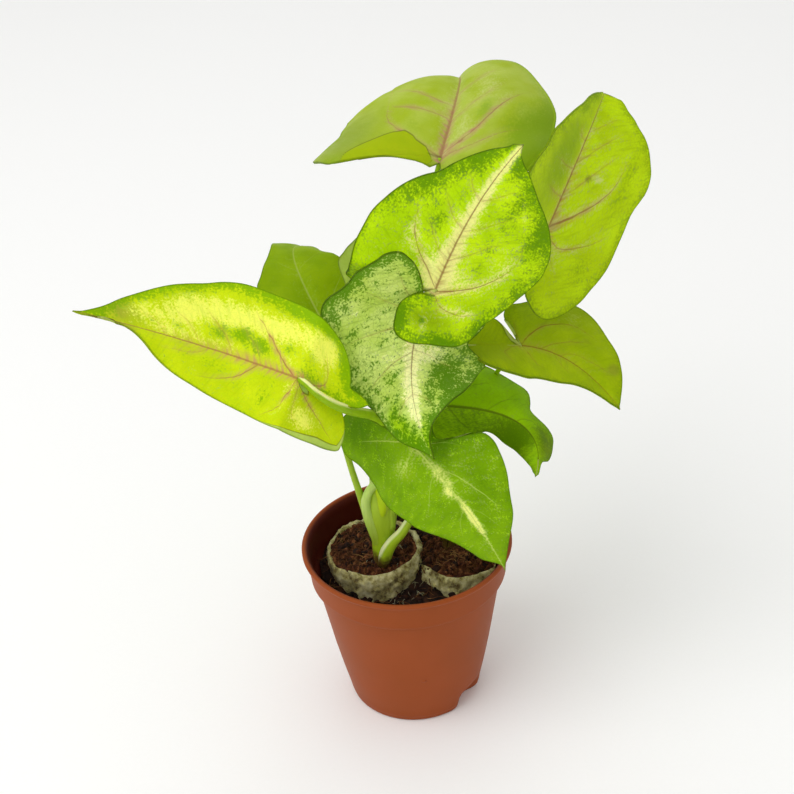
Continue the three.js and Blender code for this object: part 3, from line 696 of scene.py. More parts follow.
LOOKS = {
    "leaf_long_left": dict(
        main="c4d90a", second="d2e412", deep="80b002", cream="f6fc66", vein="a87c44", bronze="a8a83a",
        hem="c4da66", rim_width=5.0, rim_dark=0.8, halo=0.0, mottle=0.0, vein_halo=0.12, blush=1.0,
        blush_tone="c9a45e", blush_reach=50.0, rib_width=0.55, rib_reach=60.0, grain=0.85, soft=0.3,
        speckle=3.2, blotch=0.6,
        left=half_look(
            [(0.35, 0.6, [(24, 0), (28, 2.4), (33, 3.2)]),
             (0.9, 0.85, [(11, 0), (15, 4.6), (20, 6.9), (27, 8.4)]),
             (1.0, 1.0, [(0, 0), (1, 5), (2.2, 9), (7, 13)]),
             (0.45, 1.0, [(-0.8, 0.2), (-1.4, 6), (-3, 9.4), (-8, 11)]),
             (0.9, 0.95, [(-1.4, 0), (-4, 3), (-8, 4.4), (-13, 6)])],
            dark=[(7, 8, 1.2, 2.0, 0.5), (18, 4, 20, 4, 0.12)],
            pale=[(-6, 8, 4, 2.6, 0.9), (1, 3, 2, 3, 0.3)], bronze=[(50, 1, 7, 4, 0.9)], rim=(1.2, 0.25),
            hem=[(0.50, 0.0), (0.54, 0.5), (0.62, 1.4), (0.70, 2.0), (0.76, 1.6), (0.79, 0.8),
                 (0.82, 0.0)]),
        right=half_look(
            [(0.3, 0.6, [(36, 0), (39, 3), (44, 5)]), (0.3, 0.7, [(27, 0), (30, 4), (36, 8)]),
             (0.35, 0.75, [(18, 0), (21, 4), (28, 10)]), (0.3, 0.6, [(10, 0), (13, 4), (19, 9)]),
             (1.0, 0.8, [(1, 0), (6, 3.3), (10, 7), (16, 12.5)]),
             (0.9, 0.75, [(-2, 0), (-6, 1.2), (-6.6, 4), (-4, 9)])],
            dark=[(12, 4.6, 2.6, 2.2, 1.0), (17, 6.4, 3, 2.6, 1.0), (23, 5, 3, 3, 0.7),
                  (34, 3.4, 2.2, 2, 0.7), (28, 6, 2, 2.4, 0.35), (-1, 6, 3, 3, 0.5), (5, 6, 2, 2.4, 0.6),
                  (0, 15.5, 14, 2.2, 0.5), (-9, 9, 4, 4, 0.4), (40, 3, 0.6, 0.6, 1.0)],
            pale=[(8, 10.5, 12, 3.4, 0.85), (24, 10, 9, 3.6, 0.8), (33, 7, 5, 4, 0.75),
                  (-4, 9, 4, 4, 0.75), (42, 4.5, 6, 3, 0.6), (4, 4, 3, 2, 0.3), (22, 2, 6, 2, 0.35),
                  (33, 1.5, 6, 1.5, 0.4)], bronze=[(48, 3, 7, 4, 0.7)], pale_rim=(0.86, 1.0, 1.5))),
    "leaf_centre": dict(
        main="b4da06", second="ccee10", deep="4f8402", cream="f8f896", vein="8a6534", bronze="92b008",
        rim_width=6.0, rim_dark=0.5, halo=1.2, halo_width=2.6, vein_halo=0.45, mottle=0.06, blush=0.6,
        blush_tone="b59650", rib_reach=44.0, vein_width=0.28, grain=0.8, soft=0.4, speckle=3.2,
        minor=0.22, edge_line=0.8, blotch=0.9,
        left=half_look(
            [(0.35, 0.7, [(24, 0), (27, 4), (32, 8)]), (0.35, 0.7, [(16, 0), (18, 4), (23, 9)]),
             (0.35, 0.6, [(8, 0), (9.5, 3.5), (14, 8)]),
             (0.8, 0.8, [(0, 0), (4, 3.8), (8, 8.2), (12, 11), (19, 13)]),
             (0.6, 0.9, [(-0.8, 0), (-4, 5), (-8, 9)])],
            dark=[(15, 7, 5, 3, 0.4), (34, 6, 7, 3, 0.55), (23, 14, 7, 4, 0.5), (10, 22, 5, 3, -0.2),
                  (2, 21, 6, 4, -0.3)], pale=[(4, 4, 4, 3, 0.6), (9, 11, 4, 2, 0.3)]),
        right=half_look(
            [(0.35, 0.7, [(24, 0), (28, 4), (32, 7)]), (0.35, 0.7, [(15.5, 0), (18, 4), (22, 8)]),
             (0.35, 0.6, [(7.5, 0), (10, 3.5), (14, 8)]),
             (0.95, 0.86,
              [(-0.6, 0), (2, 7), (5, 12), (9.5, 16), (16, 17), (24, 13), (31, 8.6), (38, 5.6)]),
             (0.7, 0.9, [(-1.4, 0), (-4, 2.6), (-4.6, 8), (-3, 13), (0, 19)]),
             (0.3, 0.7, [(-1.6, 0), (-5, 1.6), (-10, 4)])],
            dark=[(-12.5, 5, 1.6, 6, 0.7), (-10, -7, 4, 1.6, 0.8), (27, 9, 7, 2.5, 0.5),
                  (37, 3, 4, 2, 0.5), (-7, 14, 3, 2, 0.4), (-8.5, -1.5, 0.8, 0.8, 1.0),
                  (14, 8, 2.5, 2, 0.35), (7, 9, 2.5, 3, 0.25), (22, 18, 9, 3.5, 0.65),
                  (6, 22, 4, 3, 0.2)],
            pale=[(4, 5, 3, 5, 0.45), (11, 14, 5, 3, 0.3), (-4, 8, 1.6, 6, 0.25), (-10, -1, 3, 1, 0.4)],
            bronze=[(-8, -1, 4, 8, 0.9)])),
    "leaf_top_back": dict(
        main="9cb020", second="a9ba44", deep="7c9e06", cream="c4cc78", vein="96704a", bronze="8ca02e",
        hem="9eb006", rim_width=5.0, rim_dark=0.4, halo=0.35, halo_width=3.0, vein_halo=0.35, bloom=0.15,
        mottle=0.02, blush=1.3, blush_tone="b08e66", rib_width=0.95, rib_reach=55.0, minor=0.15,
        speckle=1.6,
        left=half_look(
            [(0.4, 0.7, [(14, 0), (16, 6), (20, 12)]), (0.5, 0.7, [(10, 0), (11.5, 6), (13, 13)]),
             (0.6, 0.8, [(0, 0), (2, 6), (5, 12), (9, 16.5), (15, 17)])], dark=[(6, 10, 3, 3, 0.35)],
            bronze=[(6, 28, 14, 12, 1.0)],
            turned=[(1.9, -1.1), (2.8, 0.1), (4.3, 1.7), (7.2, 2.9), (8.4, 3.9), (10.9, 5.1), (14.1, 4.5),
                    (18.8, 2.7), (21.6, 1.7), (24.0, 0.8), (26.7, -0.7), (27.5, -9.0)]),
        right=half_look(
            [(0.3, 0.7, [(18, 0), (21, 4), (26, 10)]), (0.3, 0.7, [(9, 0), (12, 5), (17, 10)]),
             (0.95, 0.85, [(0, 0), (4, 7), (9, 11), (14, 14), (21, 20)]),
             (0.5, 0.8, [(-0.5, 0), (2, 9), (6, 16), (9, 21)])],
            dark=[(11, 10, 4, 2.4, 0.7), (4, 22, 6, 5, 0.8), (12, 25, 8, 4, 0.9), (9, 19, 8, 5, 0.4)],
            pale=[(20, 9, 9, 4, 0.35), (6, 5, 4, 2, 0.4)], bronze=[(9, 9, 5, 3, -0.6)])),
    "leaf_upper_right": dict(
        main="b8d20a", second="c6e210", deep="6a8e06", cream="d2d884", vein="96703e", bronze="92b010",
        rim_width=4.0, rim_dark=0.4, halo=0.35, halo_width=2.2, vein_halo=0.5, bloom=0.1, blush=0.7,
        rib_width=0.6, rib_reach=38.0, mottle=0.1,
        left=half_look(
            [(0.45, 0.6, [(16, 0), (17, 4), (20, 8)]), (0.5, 0.7, [(10, 0), (10.2, 5), (11, 11)]),
             (0.45, 0.6, [(5, 0), (5.4, 5), (6.5, 12)]), (0.5, 0.7, [(0, 0), (0.6, 6), (1.5, 14)])],
            dark=[(24, 8, 2, 2, 0.5), (30, 5, 4, 3, 0.3)],
            bronze=[(12, 9, 12, 9, 1.0), (30, 3, 6, 4, 0.4)]),
        right=half_look(
            [(0.3, 0.7, [(18, 0), (22, 4), (26, 8)]), (0.4, 0.75, [(11, 0), (15, 4), (20, 9)]),
             (0.4, 0.7, [(5, 0), (8, 4), (13, 9)]),
             (1.0, 0.82, [(0, 0), (3, 6), (6, 11), (10, 14.4), (16, 15)]),
             (0.7, 0.9, [(-1, 0), (-3.8, 4.6), (-3, 9), (-0.5, 14)]),
             (0.3, 0.7, [(-1.4, 0), (-6, 3), (-11, 7)])],
            dark=[(9.5, 5.6, 0.7, 0.8, 1.3), (12, 17, 8, 2, 0.3), (-8, 14, 4, 3, 0.3)],
            pale=[(10, 8.4, 0.6, 1.8, 0.9), (-6, 5, 3, 3, 0.25)])),
    "leaf_lower_right": dict(
        main="96ae04", second="a2b808", deep="728e04", cream="b9c450", vein="86661c", bronze="8e9a20",
        rim_width=2.6, rim_dark=0.35, halo=0.1, vein_halo=0.15, rib_width=0.45, rib_reach=34.0,
        blush=0.35, mottle=0.08, minor=0.3,
        # The dark spot near the junction of this upper half is painted shadow, cast by the centre leaf above
        # it.
        left=half_look(
            [(0.4, 0.7, [(12, 0), (15, 2.6), (21, 4)]), (0.5, 0.7, [(6, 0), (10, 3.4), (15, 7.4)]),
             (0.95, 0.95, [(0, 0), (3.4, 5), (7, 8.8), (12, 11.6), (18, 11)]),
             (0.5, 0.8, [(-0.5, 0), (-1, 6), (-2, 10)])], dark=[(-2, 13, 6, 7, 0.3)],
            pale=[(11, 15, 5, 2.4, 0.3)], bronze=[(24.5, 6.5, 1.5, 2.2, 1.2), (16, 9, 1.3, 1, 0.7)]),
        right=half_look(
            [(0.3, 0.7, [(10, 0), (13, 3), (18, 5)]), (0.5, 0.8, [(0, 0), (4, 6), (9, 9)]),
             (0.5, 0.8, [(-1, 0), (-4.8, 3.6), (-4, 6)])], bronze=[(24, 3, 6, 3, 0.3)])),
    "leaf_pale_centre": dict(
        main="bcd458", second="d6e67e", deep="548602", cream="fdffb4", vein="84663a", bronze="a4cc14",
        rim_width=3.4, rim_dark=0.62, halo=0.9, halo_width=2.6, vein_halo=0.15, blush=0.3, mottle=0.1,
        rib_width=0.42, rib_reach=24.0, vein_width=0.24, minor=0.4, grain=0.9, soft=0.3, speckle=4.2,
        gloss=0.03, edge_line=0.8, blotch=2.2,
        left=half_look(
            [(0.35, 0.7, [(22, 0), (24, 3), (28, 6)]), (0.5, 0.8, [(9.5, 0), (10.4, 3.6), (13, 8)]),
             (0.4, 0.8, [(2, 0), (4, 6), (8, 12)]), (0.4, 0.8, [(-1, 0), (-4, 5), (-8, 10)])],
            dark=[(16, 8, 6, 3.4, 0.8), (13, 13, 6, 5, 0.45), (26, 6, 6, 3, 0.4), (22, 11, 6, 4, 0.55)],
            pale=[(22, 0, 8, 2.0, 0.9), (11, 5, 3.4, 4, 0.7), (12.5, 14, 2.2, 3, 0.5),
                  (8, 12, 1.6, 5, 0.3), (37, 0, 6, 4, -1.3)], bronze=[(37, 1, 8, 4, 1.0)]),
        right=half_look(
            [(0.4, 0.7, [(22, 0), (25, 3), (29, 6)]), (0.6, 0.85, [(10, 0), (13, 4), (17.5, 8.4)]),
             (0.5, 0.9, [(2, 0), (6, 9), (9, 15)]), (0.5, 0.9, [(-0.6, 0), (-2, 8), (-4, 15)]),
             (0.5, 0.9, [(-1.4, 0), (-6.5, 5), (-13, 9)])],
            dark=[(17, 4.8, 2, 2, 0.5), (19, 12, 5, 3.0, 0.2), (12, 16, 6, 2.4, 0.25), (28, 5, 6, 2, 0.4),
                  (-7, 19, 6, 3.2, 0.6), (2, 21.5, 4, 2.4, 0.6), (-16, 14, 3, 5, 0.4),
                  (33, 1, 5, 3, 0.2)],
            pale=[(22, 0.6, 8, 1.8, 0.9), (12, 6, 3, 3, 0.3), (3, 17, 3, 1.4, 0.3), (37, 0, 6, 4, -1.3)],
            bronze=[(36, 3, 7, 4, 1.0), (28, 6, 6, 3, 0.8)])),
    "leaf_front": dict(
        main="74a004", second="84b008", deep="467602", cream="f0f688", vein="c4d664", bronze="8cb40c",
        rim_width=2.2, rim_dark=0.25, halo=0.3, halo_width=1.1, flecks=0.6, fleck="a8d41c", mottle=0.2,
        vein_halo=0.15, blush=0.0, rib_width=0.4, rib_reach=36.0, vein_width=0.26, minor=0.15, grain=0.5,
        soft=0.45, blotch=0.7,
        left=half_look(
            [(0.25, 0.7, [(22, 0), (27, 3), (33, 5)]), (0.6, 0.8, [(9, 0.4), (14, 3.4), (19, 5)]),
             (0.3, 0.7, [(1, 0), (6, 7), (14, 13)]), (0.4, 0.8, [(-1, 0), (-5, 4), (-9, 7)])],
            dark=[(20, 8, 8, 3, 0.25), (0, 8, 8, 8, 1.3)],
            pale=[(27, 0, 5, 0.9, 1.5), (12, 1, 6, 1.0, 0.4), (12, 6, 5, 2, 0.15), (13, 12, 5, 3, 0.12)],
            bronze=[(42, 1, 7, 4, 0.6)]),
        right=half_look(
            [(0.25, 0.7, [(22, 0), (27, 4), (33, 6)]), (0.35, 0.7, [(9, 0), (13, 5), (18, 9)]),
             (0.5, 0.7, [(1, 0), (2.6, 5), (4, 10), (9, 15)]),
             (0.8, 0.8, [(-1, 0.6), (-6, 5), (-10, 9.4)])],
            dark=[(-13, 8, 5, 5, 0.9), (-4, 8, 5, 5, 0.3), (10, 13, 8, 3, 0.2)],
            pale=[(27, 0, 5, 0.9, 1.5), (16.6, 1.3, 1.5, 1.0, 0.9), (2.6, 6.5, 2.5, 3.4, 0.35),
                  (12, 0.6, 5, 1, 0.4)],
            bronze=[(6, 16, 9, 2.4, 0.6), (5, 7, 3, 3, 1.0), (42, 1, 7, 4, 0.6)])),
    # The folded leaf: the dark and olive spots towards the tip of its upper half, all those of its lower
    # half, and its strong soft dark are painted shade, where the fold turns away from the light.
    "leaf_folded": dict(
        main="90be05", second="9cca0a", deep="4c7000", cream="b4c25c", vein="4f5c08", bronze="7a8e10",
        rim_width=2.4, rim_dark=0.35, halo=0.05, vein_halo=0.05, blush=0.0, rib_width=0.7, rib_reach=30.0,
        soft_dark=0.6,
        left=half_look(
            [(0.4, 0.7, [(16, 0), (19, 3), (24, 6)]), (0.4, 0.7, [(8, 0), (11, 4), (15, 8)]),
             (0.5, 0.8, [(0, 0), (4, 6), (9, 10)])], dark=[(26, 4, 5, 5, 0.55), (1, 8, 5, 4, 0.3)],
            bronze=[(28, 4, 7, 5, 0.8)]),
        right=half_look(
            [(0.4, 0.7, [(10, 0), (14, 4), (19, 7)]), (0.5, 0.8, [(0, 0), (4, 6), (9, 10)])],
            dark=[(20, 4, 8, 7, 1.1), (4, 6, 10, 10, 0.45)], bronze=[(28, 4, 8, 5, 0.5)])),
    "leaf_back_left": dict(
        main="7e9c02", second="8aa606", deep="688804", cream="a3b94a", vein="9fb04c", bronze="8aa00c",
        rim_width=3.0, rim_dark=0.25, halo=0.15, vein_halo=0.1, blush=0.0,
        left=half_look([(0.3, 0.7, [(16, 0), (20, 4), (26, 6)]), (0.5, 0.8, [(0, 0), (6, 6), (12, 9)])]),
        right=half_look(
            [(0.3, 0.7, [(16, 0), (20, 4), (26, 8)]), (0.5, 0.8, [(0, 0), (6, 6), (12, 12)])])),
    "leaf_small_back": dict(
        main="98b03c", second="a3b850", deep="88a030", cream="b8c474", vein="9c9c50", bronze="98a850",
        rim_width=2.4, rim_dark=0.25, halo=0.2, vein_halo=0.2, blush=0.0,
        left=half_look([(0.5, 0.8, [(0, 0), (3, 4), (7, 7)])]),
        right=half_look([(0.5, 0.8, [(0, 0), (3, 4), (7, 8)])])),
}
LOOKS = {name: {**BASE_LOOK, **own} for name, own in LOOKS.items()}

def tone_fields(look, own, h):
    """How much dark, cream and bronze a place tends to, before the fine grain of the shader,
    and where it lies in the hem: 0 outside, then rising to 1 at the turned line and 2 beyond."""
    s, t, rim, phase = h["s"], np.abs(h["t"]), h["rim"], h["phase"]
    rim_width, rim_dark = own["rim"] or (look["rim_width"], look["rim_dark"])
    dark = rim_dark * (1 - smooth_step(0.0, 1.0, rim / rim_width)) + look["mottle"] + spots(h, own["dark"])
    narrowing = look["halo_width"] * (1 - 0.6 * smooth_step(0, look["rib_reach"], s))
    cream = look["halo"] * np.exp(-(t / narrowing) ** 2) * smooth_step(-2.5, 0.5, s)
    cream = cream + look["vein_halo"] * h["power"] * np.exp(-(vein_distance(h) / 1.5) ** 2)
    cream = cream + spots(h, own["pale"])
    if own["pale_rim"]:
        start, end, width = own["pale_rim"]
        inside = smooth_step(start, start + 0.04, phase) * smooth_step(end + 0.01, end - 0.02, phase)
        cream = cream + 1.3 * inside * (1 - smooth_step(0.5 * width, width, rim))
    hem = np.zeros_like(t)
    if own["hem"]:
        width = np.interp(phase, *zip(*own["hem"]), left=0, right=0)
        hem = np.clip(2 - rim / (width + 1e-3), 0, 2) * (width > 0.05)
    if own["turned"]:
        line = np.interp(t, *zip(*own["turned"]), left=-50, right=-50)
        hem = np.clip(1 + 0.5 * (line - s), 0, 2)
    return dark - 0.5 * cream, cream, spots(h, own["bronze"]), hem


# %% [markdown]
# ## The leaf tissue material
# The real surface is living leaf: a waxy skin over green cells. It gives the eye a soft satin
# gloss, fine grain, and colour that glows because light passes through. Real cells are far too
# small to see, and the freckles are groups of them, about half a millimetre across. They are
# drawn as grains of 0.6 mm in a net of 1.3 mm, which is a little coarser than life, so that
# they still show from an arm's length. Broader tones change over 2 to 10 mm. Veins are drawn by
# the shader from the distances stored on the mesh, so that they stay thin and sharp.

# %% Leaf tissue
NET_MM = 1.3
GRAIN_MM = 0.6
PATCH_MM = 1.7
FLECK_MM = 0.45
HAIR_MM = 0.8
BLOTCH_MM = 2.4
CLOUD_MM = 2.6
BROAD_MM = 10
VEIN_END = 0.14            # width of a side vein where it is lost, in millimetres
RIB_END = 0.12


def leaf_tissue(name, look):
    """Living leaf, with a satin skin and light coming through."""
    paint = Recipe(name + "_tissue")
    do, ramp, blend = paint.math, paint.soft_ramp, paint.blend
    along, across, under = paint.stored("place")
    vein, gap, power = paint.stored("veins")
    dark_tone, cream_tone, share = paint.stored("tones")
    bronze_tone, hem, rim = paint.stored("edges")

    # Flat maps of the leaf: a plain one, one slanted like the side veins, one like fine hairs.
    off_rib = do("ABSOLUTE", across)
    slanted = do("MULTIPLY_ADD", off_rib, -0.5, along)
    flat = paint.vector(along, across, 0.0)
    combed = paint.vector(slanted, do("MULTIPLY", across, 0.6), 0.0)
    hairy = paint.vector(slanted, do("MULTIPLY", across, 0.16), 5.0)
    broad = paint.noise(flat, 1 / BROAD_MM, 2.0)
    clouds = paint.noise(combed, 1 / CLOUD_MM, 3.0)
    grain = paint.noise(flat, 1 / GRAIN_MM, 3.0, Roughness=0.6)
    hairs = paint.noise(hairy, 1 / HAIR_MM, 3.0)
    net = node(paint.tree, "TexVoronoi", {"Vector": flat, "Scale": 1 / NET_MM}, feature="DISTANCE_TO_EDGE")
    cloudy = do("SUBTRACT", clouds, 0.5)
    spread = do("SUBTRACT", paint.noise(flat, 1 / BLOTCH_MM, 3.0, Roughness=0.6), 0.5)

    skin = blend(ramp(broad, 0.35, 0.65), look["main"], look["second"])
    bronze = do("MULTIPLY_ADD", cloudy, 0.5, bronze_tone)
    skin = blend(ramp(bronze, 0.15, 1.0), skin, look["bronze"])

    # Cells of two sizes decide where a tone breaks through, so that its border is speckled.
    cells = do("MULTIPLY_ADD", paint.noise(combed, 1 / PATCH_MM, 2.0), 0.35, -0.5)
    cells = do("MULTIPLY_ADD", grain, 0.65, cells)
    low, high = 0.5 - look["soft"], 0.5 + look["soft"]

    # Cream spreads from the veins; dark cells crowd at the edge and in patches.
    cream = do("MULTIPLY_ADD", cloudy, 0.35, cream_tone)
    cream = do("MULTIPLY_ADD", cells, look["speckle"], cream)
    skin = blend(ramp(cream, low, high, 0.0, 0.95), skin, look["cream"])
    dark = do("MULTIPLY_ADD", spread, look["blotch"], dark_tone)
    skin = blend(ramp(dark, 0.1, 1.3, 0.0, look["soft_dark"]), skin, look["deep"])
    dark = do("MULTIPLY_ADD", cells, look["speckle"], dark)
    skin = blend(ramp(dark, low, high, 0.0, look["grain"]), skin, look["deep"])
    skin = blend(ramp(grain, 0.42, 0.30, 0.0, look["light"]), skin, look["second"])

    # Pale flecks, in clusters.
    flecks = do("MULTIPLY_ADD", cloudy, 0.9, paint.noise(flat, 1 / FLECK_MM, 2.0))
    skin = blend(ramp(flecks, 0.62, 0.72, 0.0, look["flecks"]), skin, look["fleck"])

    # The smallest veins: fine hairs that run out from the midrib, and a net.
    hair = ramp(hairs, 0.52, 0.70)
    net_line = ramp(net, 0.0, 0.10, 0.6, 0.0)
    skin = blend(do("MULTIPLY", do("MAXIMUM", hair, net_line), look["minor"]), skin, look["deep"])

    # Side veins: distance to the nearest one, thinner towards the edge.
    turn = do("SUBTRACT", do("FRACT", do("ADD", vein, 0.5)), 0.5)
    distance = do("ABSOLUTE", do("MULTIPLY_ADD", cloudy, 0.7, do("MULTIPLY", turn, gap)))
    width = ramp(share, 0.0, 0.9, look["vein_width"], VEIN_END)
    near = do("SUBTRACT", 1.0, do("DIVIDE", distance, width))
    near = do("MULTIPLY", ramp(near, 0.0, 0.8), power)

    # The midrib: wide at the stalk, a hair at the tip.
    rib_width = paint.ramp(along, 0.0, look["rib_reach"], look["rib_width"], RIB_END)
    rib_off = do("MULTIPLY_ADD", do("SUBTRACT", grain, 0.5), 0.35, off_rib)
    rib = do("SUBTRACT", 1.0, do("DIVIDE", rib_off, rib_width))
    rib = do("MULTIPLY", ramp(rib, 0.0, 0.8), ramp(along, -1.4, 0.2))
    rib = do("MULTIPLY", rib, ramp(along, look["rib_reach"], 1.4 * look["rib_reach"], 1.0, 0.3))

    # A blush lies round the thick ends of the veins, and frays out along the hairs.
    near_rib, near_vein = ramp(off_rib, 0.0, 3.0, 1.0, 0.0), ramp(distance, 0.0, 1.6, 1.0, 0.0)
    blush_rib = do("MULTIPLY", near_rib, ramp(along, 2.0, look["blush_reach"], 1.0, 0.0))
    blush_rib = do("MULTIPLY", blush_rib, ramp(along, -2.6, -0.5))
    blush_vein = do("MULTIPLY", do("MULTIPLY", near_vein, ramp(share, 0.05, 0.85, 1.0, 0.0)), power)
    blush = do("MULTIPLY", do("MAXIMUM", blush_rib, blush_vein), ramp(hairs, 0.38, 0.66, 0.35, 1.3))
    skin = blend(do("MULTIPLY", blush, look["blush"]), skin, look["blush_tone"])
    ribs = do("MAXIMUM", rib, near)
    skin = blend(do("MULTIPLY", ribs, 0.75), skin, look["vein"])

    # A turned hem shows its paler underside, beyond a thin dark line.
    hem_skin = blend(ramp(clouds, 0.3, 0.7, 0.0, 0.25), look["hem"], look["deep"])
    skin = blend(ramp(hem, 1.0, 1.1), skin, hem_skin)
    off_line = do("ABSOLUTE", do("SUBTRACT", hem, 1.02))
    skin = blend(ramp(off_line, 0.0, look["hem_line"], 0.7, 0.0), skin, "5f6414")

    # The outermost edge is a thin darker line, and the underside is paler and duller.
    skin = blend(ramp(rim, 0.0, 0.5, look["edge_line"], 0.0), skin, look["edge"])
    skin = blend(under, skin, blend(0.75, skin, look["back"]))

    height = do("MULTIPLY_ADD", grain, 0.4, net)
    height = do("MULTIPLY_ADD", ribs, -0.8, height)
    height = do("MULTIPLY_ADD", hair, -0.25, height)
    return paint.finish(
        skin, ramp(clouds, 0.3, 0.7, 0.42, 0.56), paint.bump(height, 0.22, 0.22), look["gloss"], IOR=1.42,
        Subsurface_Weight=0.25, Subsurface_Radius=(0.6, 1.0, 0.15), Subsurface_Scale=0.001,
        Sheen_Weight=0.2 * look["bloom"], Sheen_Roughness=0.5)


# %% [markdown]
# ## Ten blades
# Each blade is meshed from its own numbers. The distances and tones are worked out for every
# place of the mesh, so the shader can read them at each face corner.


def make_blade(name):
    leaf, look = LEAVES[name], LOOKS[name]
    length, halves, corners, faces, places = blade_mesh(leaf, look)
    piece = make_piece(name + "_blade", corners, faces, leaf_tissue(name, look), [name])
    stored = {"place": [], "veins": [], "tones": [], "edges": []}
    fields = [(side, h, *tone_fields(look, look[own], h)) for (own, side), h in zip(HALVES.items(), halves)]
    for (k, *at), under in places:
        at = tuple(at)
        side, h, dark, cream, bronze, hem = fields[k]
        stored["place"].append((h["s"][at], side * h["t"][at], under))
        stored["veins"].append((h["vein"][at], h["gap"][at], h["power"][at]))
        stored["tones"].append((dark[at], cream[at], h["share"][at]))
        stored["edges"].append((bronze[at], hem[at], h["rim"][at]))
    for key, values in stored.items():
        corner_values(piece, key, values)
    return length, piece


for leaf_name in LEAVES:
    leaf_length, blade = make_blade(leaf_name)
    print(f"{leaf_name}: midrib {leaf_length:.0f} mm, {len(blade.data.polygons)} faces")

# %% [markdown]
# ## Stalks
# Each blade hangs on a stalk, nearly round, that thickens to its foot. The skin is smooth and
# looks moist. It is pale at the foot and greener higher up, and stained brown where it leaves
# the soil.

# %% Stalk skin
STAIN_MM = (45.5, 53.5)    # heights between which the stain of the soil fades


def stalk_skin(name, low, high, rim, stain, low_z, high_z):
    """Smooth young stalk: satin, with fine lengthwise streaks, a pale ridge and a stained foot."""
    paint = Recipe(name)
    spot = paint.place()
    height = node(paint.tree, "SeparateXYZ", {0: spot}, out=2)
    streaks = paint.noise(paint.stretched(spot, 900.0, 900.0, 120.0), 1.0, 3.0)
    skin = paint.blend(paint.ramp(height, low_z * MM, high_z * MM), low, high)
    skin = paint.blend(paint.ramp(streaks, 0.45, 0.75, 0.0, 0.3), skin, "6f9008")
    skin = paint.blend(paint.stored("margin")[0], skin, rim)
    foot = paint.ramp(height, STAIN_MM[0] * MM, STAIN_MM[1] * MM, 0.9, -0.4)
    foot = paint.math("MULTIPLY_ADD", paint.noise(spot, 700.0, 4.0), 0.8, foot)
    skin = paint.blend(paint.ramp(foot, 0.55, 1.1), skin, stain)
    return paint.finish(skin, 0.38, paint.bump(streaks, 0.25, 0.3), 0.2, IOR=1.42, Subsurface_Weight=0.3,
                        Subsurface_Radius=(0.7, 1.0, 0.2), Subsurface_Scale=0.0015)


STALK_SKIN = stalk_skin("young_stalk_skin", "a9c43a", "8fb40e", "eef0a0", "6f5f24", 66.0, 100.0)
SHEATH_SKIN = stalk_skin("clasping_sheath_skin", "a8c624", "b4d040", "e2e8ac", "5c4a1c", 54.0, 72.0)


def make_stalk(name):
    leaf, rings, sides = LEAVES[name], 46, 16
    path = bezier(leaf["foot"], leaf["rise"], leaf["reach"], leaf["junction"], rings)
    along = np.linspace(0, 1, rings)
    radii = leaf["stalk"] * (1.0 - 0.38 * along + 0.45 * np.exp(-along / 0.1))
    corners = tube_corners(path, radii, sides, flat=0.92)
    piece = make_piece(name + "_stalk", corners, ring_faces(rings, sides), STALK_SKIN, [name])
    point_values(piece, "margin", np.zeros((len(corners), 3)))


for leaf_name in LEAVES:
    if leaf_name != "leaf_long_left":
        make_stalk(leaf_name)


# %% [markdown]
# ## Ridged stems and shells
# The long left leaf's stalk is bent so sharply that it gets a line of places of its own, and
# its upper side is a pale ridge. The crown's stems are made in the same way. The young shoot is
# the rolled wall of its outermost sheath, open where the next leaf comes out.

# %% Ridged stems and shells
RIDGE_RISE = 0.25          # how far a ridge stands out, in millimetres


def through(places, count):
    """Evenly spaced points of a smooth line through places."""
    line = smooth_line(places, 12)
    steps = np.concatenate([[0], np.cumsum(np.linalg.norm(np.diff(line, axis=0), axis=1))])
    at = np.linspace(0, steps[-1], count)
    return np.stack([np.interp(at, steps, line[:, k]) for k in range(3)], -1)


def stretch(values, count):
    """A short list of values, spread evenly over count stations."""
    return np.interp(np.linspace(0, 1, count), np.linspace(0, 1, len(values)), values)


def make_shell(name, places, radii, openings, facing, material, nodes, wall, count=48, steps=22):
    """Part of a round wall along a path, thin at its two margins. openings are the first and
    last angle of the wall in degrees, counted from the facing direction."""
    path = through(places, count)
    along = unit(np.gradient(path, axis=0))
    radius = stretch(radii, count)
    first, last = (stretch(angles, count) for angles in zip(*openings))
    facing = np.array(facing, float)
    profile = np.linspace(0, 1, steps)
    to_margin = np.minimum(profile, 1 - profile)
    thin = wall * (0.35 + 0.65 * np.minimum(1, 5 * to_margin))[:, None]
    corners = []
    for k in range(count):
        front = unit(facing - along[k] * facing.dot(along[k]))
        side = np.cross(along[k], front)
        angle = np.radians(first[k] + (last[k] - first[k]) * profile)
        out = np.outer(np.cos(angle), front) + np.outer(np.sin(angle), side)
        corners += [path[k] + out * radius[k], (path[k] + out * (radius[k] - thin))[::-1]]
    piece = make_piece(name, np.concatenate(corners), ring_faces(count, 2 * steps), material, nodes)
    edge = np.clip(1 - 9 * to_margin, 0, 1)
    margin = np.zeros((count * 2 * steps, 3))
    margin[:, 0] = np.tile(np.concatenate([edge, edge[::-1]]), count)
    point_values(piece, "margin", margin)


def make_ridged_stem(name, places, radii, material, nodes, ridge=None, sharp=0.80, count=48):
    """A closed round stem through places, with a pale ridge on the side that faces a direction."""
    sides = 24
    path = through(places, count)
    corners = tube_corners(path, stretch(radii, count), sides)
    piece = make_piece(name, corners, ring_faces(count, sides), material, nodes)
    margin = np.zeros((len(corners), 3))
    if ridge is not None:
        out = unit(corners - np.repeat(path, sides, axis=0))
        margin[:, 0] = smooth_step(sharp, 0.5 + 0.5 * sharp, out @ unit(np.array(ridge, float)))
        corners = corners + RIDGE_RISE * margin[:, :1] * out
        piece.data.vertices.foreach_set("co", (corners * MM).astype(np.float32).ravel())
    point_values(piece, "margin", margin)


